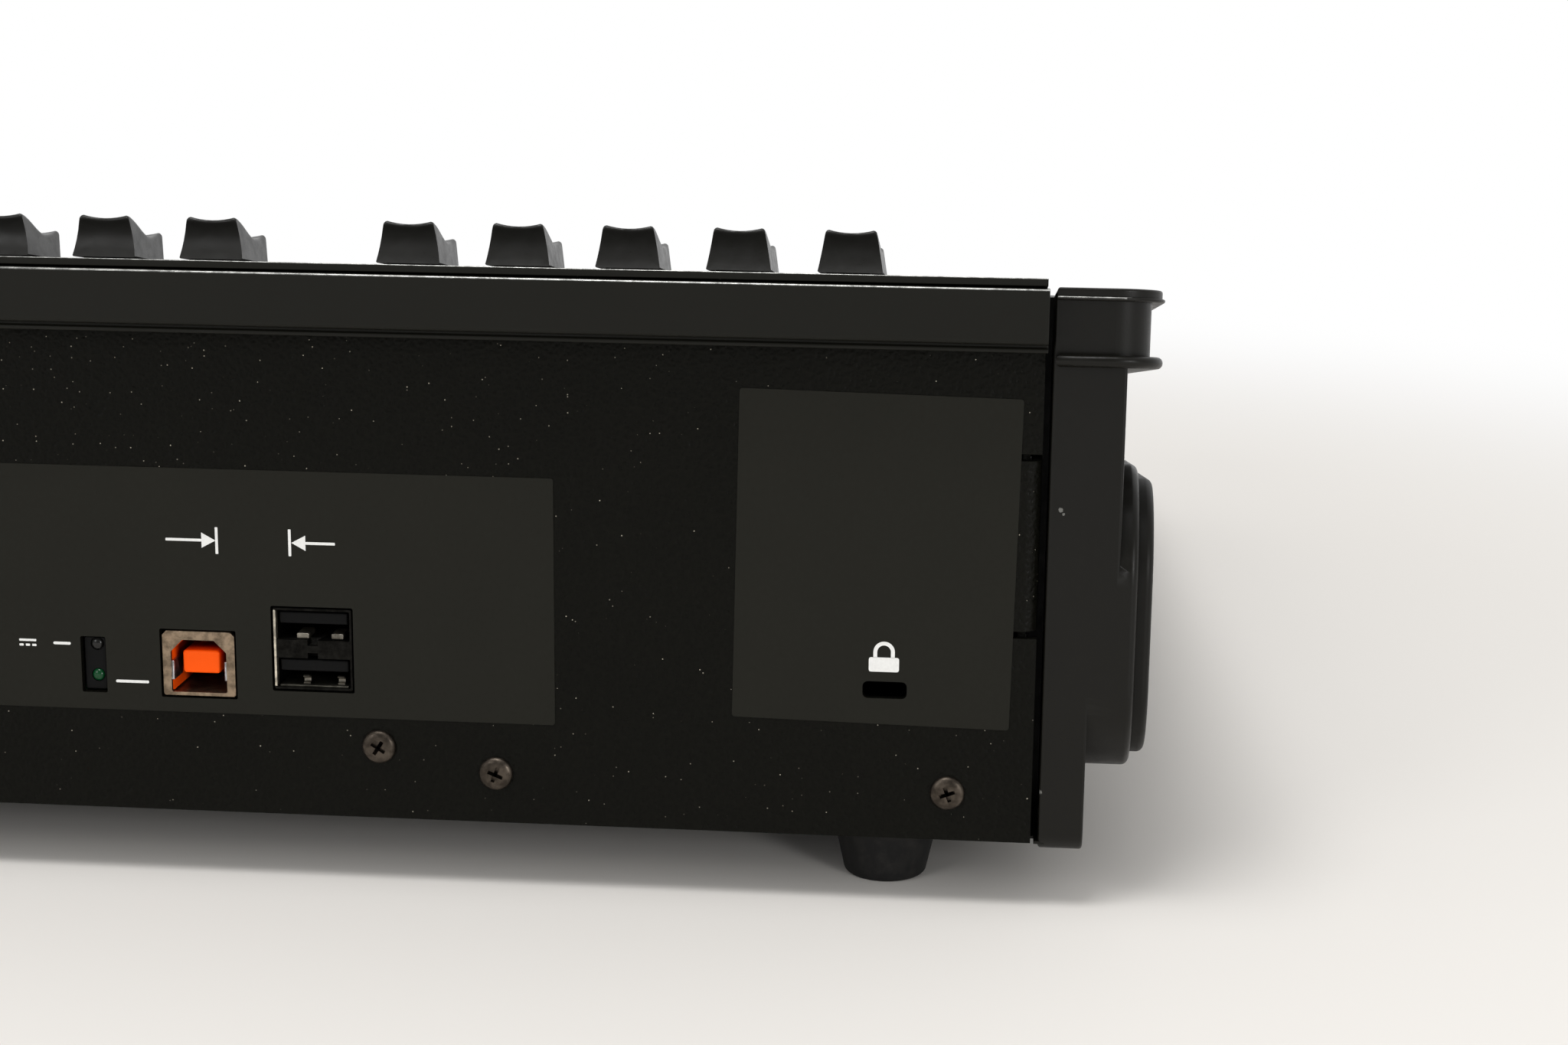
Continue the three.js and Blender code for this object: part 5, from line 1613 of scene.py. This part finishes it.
class WING_OT_faders(bpy.types.Operator):
    """Lofts the fader caps with their saddles and inset skirts, and their levers"""

    bl_idname = "wing.faders"
    bl_label = "Faders"

    length: measure("Length", 19.8, "Cap length")
    crest: measure("Crest", 13.6, "Height of the cap over the deck")
    body: measure("Body", 8.4, "Height of the wide body")
    half_width: measure("Half width", 4.95, "Half of the width at the crest")
    flare: FloatProperty(name="Flare", default=0.18, description="Widening per side and unit of depth")
    saddle_drop: measure("Saddle drop", 3.5, "Depth of the saddle under the crest")
    tip_drop: measure("Tip drop", 2.2, "Depth of the front tip under the crest")
    front_drop: measure("Front drop", 2.3,
                        "How much lower the front row's caps sit, out of sight from behind")
    dish: measure("Dish", 0.6, "Hollow across the top")
    scoop: measure("Scoop", 0.8, "Hollow of the rear face")
    undercut: measure("Undercut", 1.6, "How far the front face leans back")
    skirt_inset: measure("Skirt inset", 1.6, "Set-back of the skirt under the body")

    saddle_share = 0.61
    skirt_taper = 0.985
    # How far the rear face's hollow draws in what lies behind it
    scoop_reach = 3.2 * MM
    clearance = 1.5 * MM
    lever_low = -4.5 * MM
    lever_halves = (0.8 * MM, 2.5 * MM)

    def execute(self, context):
        edge = context.scene.wing_sizes.cap_edge
        rings = context.scene.wing_sizes.cap_rings
        templates = {"rear": self.cap(edge, rings)}
        self.crest -= self.front_drop
        templates["front"] = self.cap(edge, rings)
        for label in FADER_LABELS:
            x, y = fader_place(label)
            mesh = templates[label.split("_")[0]].copy()
            mesh.transform(DECK_FRAME @ Matrix.Translation((x, y, 0)))
            fader = "fader_" + label
            add_piece("cap_" + label, mesh, ["cap", "lever"], fader, [fader])
        for template in templates.values():
            bpy.data.meshes.remove(template)
        return {"FINISHED"}

    def bow(self, z, edge):
        """Depth of the rear face's hollow at a height, as a share of its most at half of the body."""
        share = (z - (self.crest - self.body)) / (self.body - edge)
        return max(0.0, 1 - (2 * share - 1) ** 2)

    def top_at(self, share):
        if share < self.saddle_share:
            return self.crest - self.saddle_drop * (1 - math.cos(math.pi * share / self.saddle_share)) / 2
        rise = (share - self.saddle_share) / (1 - self.saddle_share)
        return self.crest - self.saddle_drop + (self.saddle_drop - self.tip_drop) * rise * rise

    def ring(self, share, drop, edge):
        """Points round one cross-section of the body, from the lower left, with round upper edges."""
        bottom = self.crest - self.body
        top = self.top_at(share) - drop
        y_top = self.length / 2 - share * self.length
        y_bottom = self.length / 2 - share * (self.length - self.undercut)

        def half_at(z):
            return self.half_width + (self.crest - z) * self.flare

        def y_at(z):
            mix = (z - bottom) / (top - bottom)
            return y_bottom + (y_top - y_bottom) * mix

        side = []
        for mix in (0.0, 0.03, 0.25, 0.5, 0.75, 1.0):
            z = bottom + (top - edge - bottom) * mix
            side.append((half_at(z) - (0.25 * MM if mix == 0 else 0), y_at(z), z))
        corner_half = half_at(top - edge)
        for degrees in (30, 60, 90):
            angle = math.radians(degrees)
            side.append((corner_half - edge * (1 - math.cos(angle)), y_at(top),
                         top - edge * (1 - math.sin(angle))))
        flat = corner_half - edge
        dished = [(flat * place, y_top, top - self.dish * (1 - place * place))
                  for place in (0.8, 0.55, 0.28, 0.0)]
        right = side + dished
        left = [(-x, y, z) for x, y, z in right[:-1]][::-1]
        return right + left

    def cap(self, edge, count):
        bm = bmesh.new()
        edge_share = edge / self.length
        stations = [(edge_share * (1 - math.cos(a)), edge * (1 - math.sin(a)))
                    for a in (math.radians(d) for d in (0, 22, 45, 67, 90))]
        inner = [(edge_share + (1 - 2 * edge_share) * i / count, 0) for i in range(1, count)]
        mirrored = [(1 - share, drop) for share, drop in reversed(stations)]
        rings = [self.ring(share, drop, edge) for share, drop in stations + inner + mirrored]
        scooped = [[self.hollowed(p, edge) for p in ring] for ring in rings]
        loops = lofted(bm, scooped, closed=False)
        self.close_face(bm, loops[0], edge, True)
        self.close_face(bm, loops[-1], edge, False)
        self.skirt_and_lever(bm, edge)
        return mesh_of(bm, "cap", 38)

    def skirt_and_lever(self, bm, edge):
        """Adds the inset skirt under the body and the lever through the deck's slot."""
        half = self.half_width + self.body * self.flare - self.skirt_inset
        half_length = (self.length - self.undercut) / 2 - self.skirt_inset
        middle = self.undercut / 2
        skirt = rounded_rectangle(half, half_length, 1.2 * MM, 5)
        lofted(bm, [
            [(x * self.skirt_taper, y * self.skirt_taper + middle, self.clearance) for x, y in skirt],
            [(x, y + middle, self.crest - self.body + edge) for x, y in skirt],
        ])
        before = set(bm.faces)
        lever = rounded_rectangle(*self.lever_halves, 0.3 * MM, 3)
        lofted(bm, [[(x, y, z) for x, y in lever] for z in (self.lever_low, self.clearance + 1 * MM)])
        painted_since(bm, before, 1)

    def hollowed(self, point, edge):
        """Draws the rear face in, most at half of the body's height."""
        x, y, z = point
        reach = self.length / 2 - y
        near = max(0.0, 1 - reach / self.scoop_reach)
        return (x, y - self.scoop * near * near * self.bow(z, edge), z)

    def close_face(self, bm, loop, edge, rear):
        """Closes an end of the body with shrinking rings, so that it can be hollow."""
        middle = sum((v.co for v in loop), Vector()) / len(loop)
        outer = loop
        for share in (0.8, 0.55, 0.3, 0.1):
            inner = []
            for vert in loop:
                point = middle.lerp(vert.co, share)
                if rear:
                    point.y = self.length / 2 - self.scoop * self.bow(point.z, edge)
                inner.append(bm.verts.new(point))
            for i in range(len(loop)):
                j = (i + 1) % len(loop)
                bm.faces.new((outer[i], outer[j], inner[j], inner[i]))
            outer = inner
        bm.faces.new(outer)


class WING_OT_keys(bpy.types.Operator):
    """Builds the flash keys with their dished faces and flanges"""

    bl_idname = "wing.keys"
    bl_label = "Flash keys"

    width: measure("Width", 12, "Key width")
    length: measure("Length", 11, "Key length")
    proud: measure("Proud", 3.2, "Height of the key over the deck")
    corner: measure("Corner", 1.6, "Corner radius")
    edge: measure("Edge", 0.8, "Rounding of the face")
    dish: measure("Dish", 0.45, "Hollow of the face")

    def execute(self, context):
        template = self.key()
        for label in FADER_LABELS:
            x, y = fader_place(label)
            mesh = template.copy()
            mesh.transform(DECK_FRAME @ Matrix.Translation((x, y - KEY_OFFSET, 0)))
            add_piece("key_top_" + label, mesh, "key", "key_" + label, ["key_" + label])
        bpy.data.meshes.remove(template)
        return {"FINISHED"}

    def key(self):
        bm = bmesh.new()
        flange_top = -DECK_SHEET - 0.3 * MM
        flange = 1 * MM
        half_x, half_y = self.width / 2, self.length / 2
        profile = [(-flange, flange_top - flange), (-flange, flange_top), (0, flange_top)]
        profile += [(0.05 * MM, self.proud - self.edge)]
        profile += [(self.edge * (1 - math.cos(a)), self.proud - self.edge * (1 - math.sin(a)))
                    for a in (math.radians(d) for d in (18, 36, 54, 72, 90))]
        rings = []
        for inset, z in profile:
            radius = max(self.corner - inset, 0.5 * MM)
            rings.append([(x, y, z) for x, y in rounded_rectangle(half_x - inset, half_y - inset, radius)])
        last = rings[-1]
        for share in (0.85, 0.6, 0.35, 0.12):
            level = self.proud - self.dish * (1 - share * share)
            rings.append([(x * share, y * share, level) for x, y, z in last])
        lofted(bm, rings)
        stem_radius = 1.7 * MM
        stem_low, stem_top = flange_top - flange - 2.3 * MM, flange_top - flange / 2
        stem = [(0, stem_low), (stem_radius, stem_low), (stem_radius, stem_top), (0, stem_top)]
        turned(bm, stem, (0, 0, 0), steps=20)
        return mesh_of(bm, "key")


class WING_PT_panel(bpy.types.Panel):
    """Lists the steps that build the fader wing"""

    bl_label = "Fader wing"
    bl_idname = "WING_PT_panel"
    bl_space_type = "VIEW_3D"
    bl_region_type = "UI"
    bl_category = "Fader wing"

    def draw(self, context):
        for step in STEPS:
            self.layout.operator(step.bl_idname)
        for group in (context.scene.wing_sizes, context.scene.wing_colours):
            for name in group.__annotations__:
                self.layout.prop(group, name)


STEPS = (
    WING_OT_stage,
    WING_OT_housing,
    WING_OT_cheeks,
    WING_OT_feet,
    WING_OT_square_socket,
    WING_OT_flat_socket,
    WING_OT_lights_and_jack,
    WING_OT_plates,
    WING_OT_screws,
    WING_OT_scales,
    WING_OT_boards,
    WING_OT_faders,
    WING_OT_keys,
)
CLASSES = (WingSizes, WingColours, *STEPS, WING_PT_panel)


def register():
    for cls in CLASSES:
        bpy.utils.register_class(cls)
    bpy.types.Scene.wing_sizes = PointerProperty(type=WingSizes)
    bpy.types.Scene.wing_colours = PointerProperty(type=WingColours)


def unregister():
    del bpy.types.Scene.wing_colours
    del bpy.types.Scene.wing_sizes
    for cls in reversed(CLASSES):
        bpy.utils.unregister_class(cls)


def main():
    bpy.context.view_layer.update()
    register()
    bpy.ops.wing.stage()
    bpy.ops.wing.housing()
    bpy.ops.wing.cheeks()
    bpy.ops.wing.feet()
    bpy.ops.wing.square_socket()
    bpy.ops.wing.flat_socket()
    bpy.ops.wing.lights_and_jack()
    bpy.ops.wing.plates()
    bpy.ops.wing.screws()
    bpy.ops.wing.scales()
    bpy.ops.wing.boards()
    bpy.ops.wing.faders()
    bpy.ops.wing.keys()


if __name__ == "__main__":
    main()
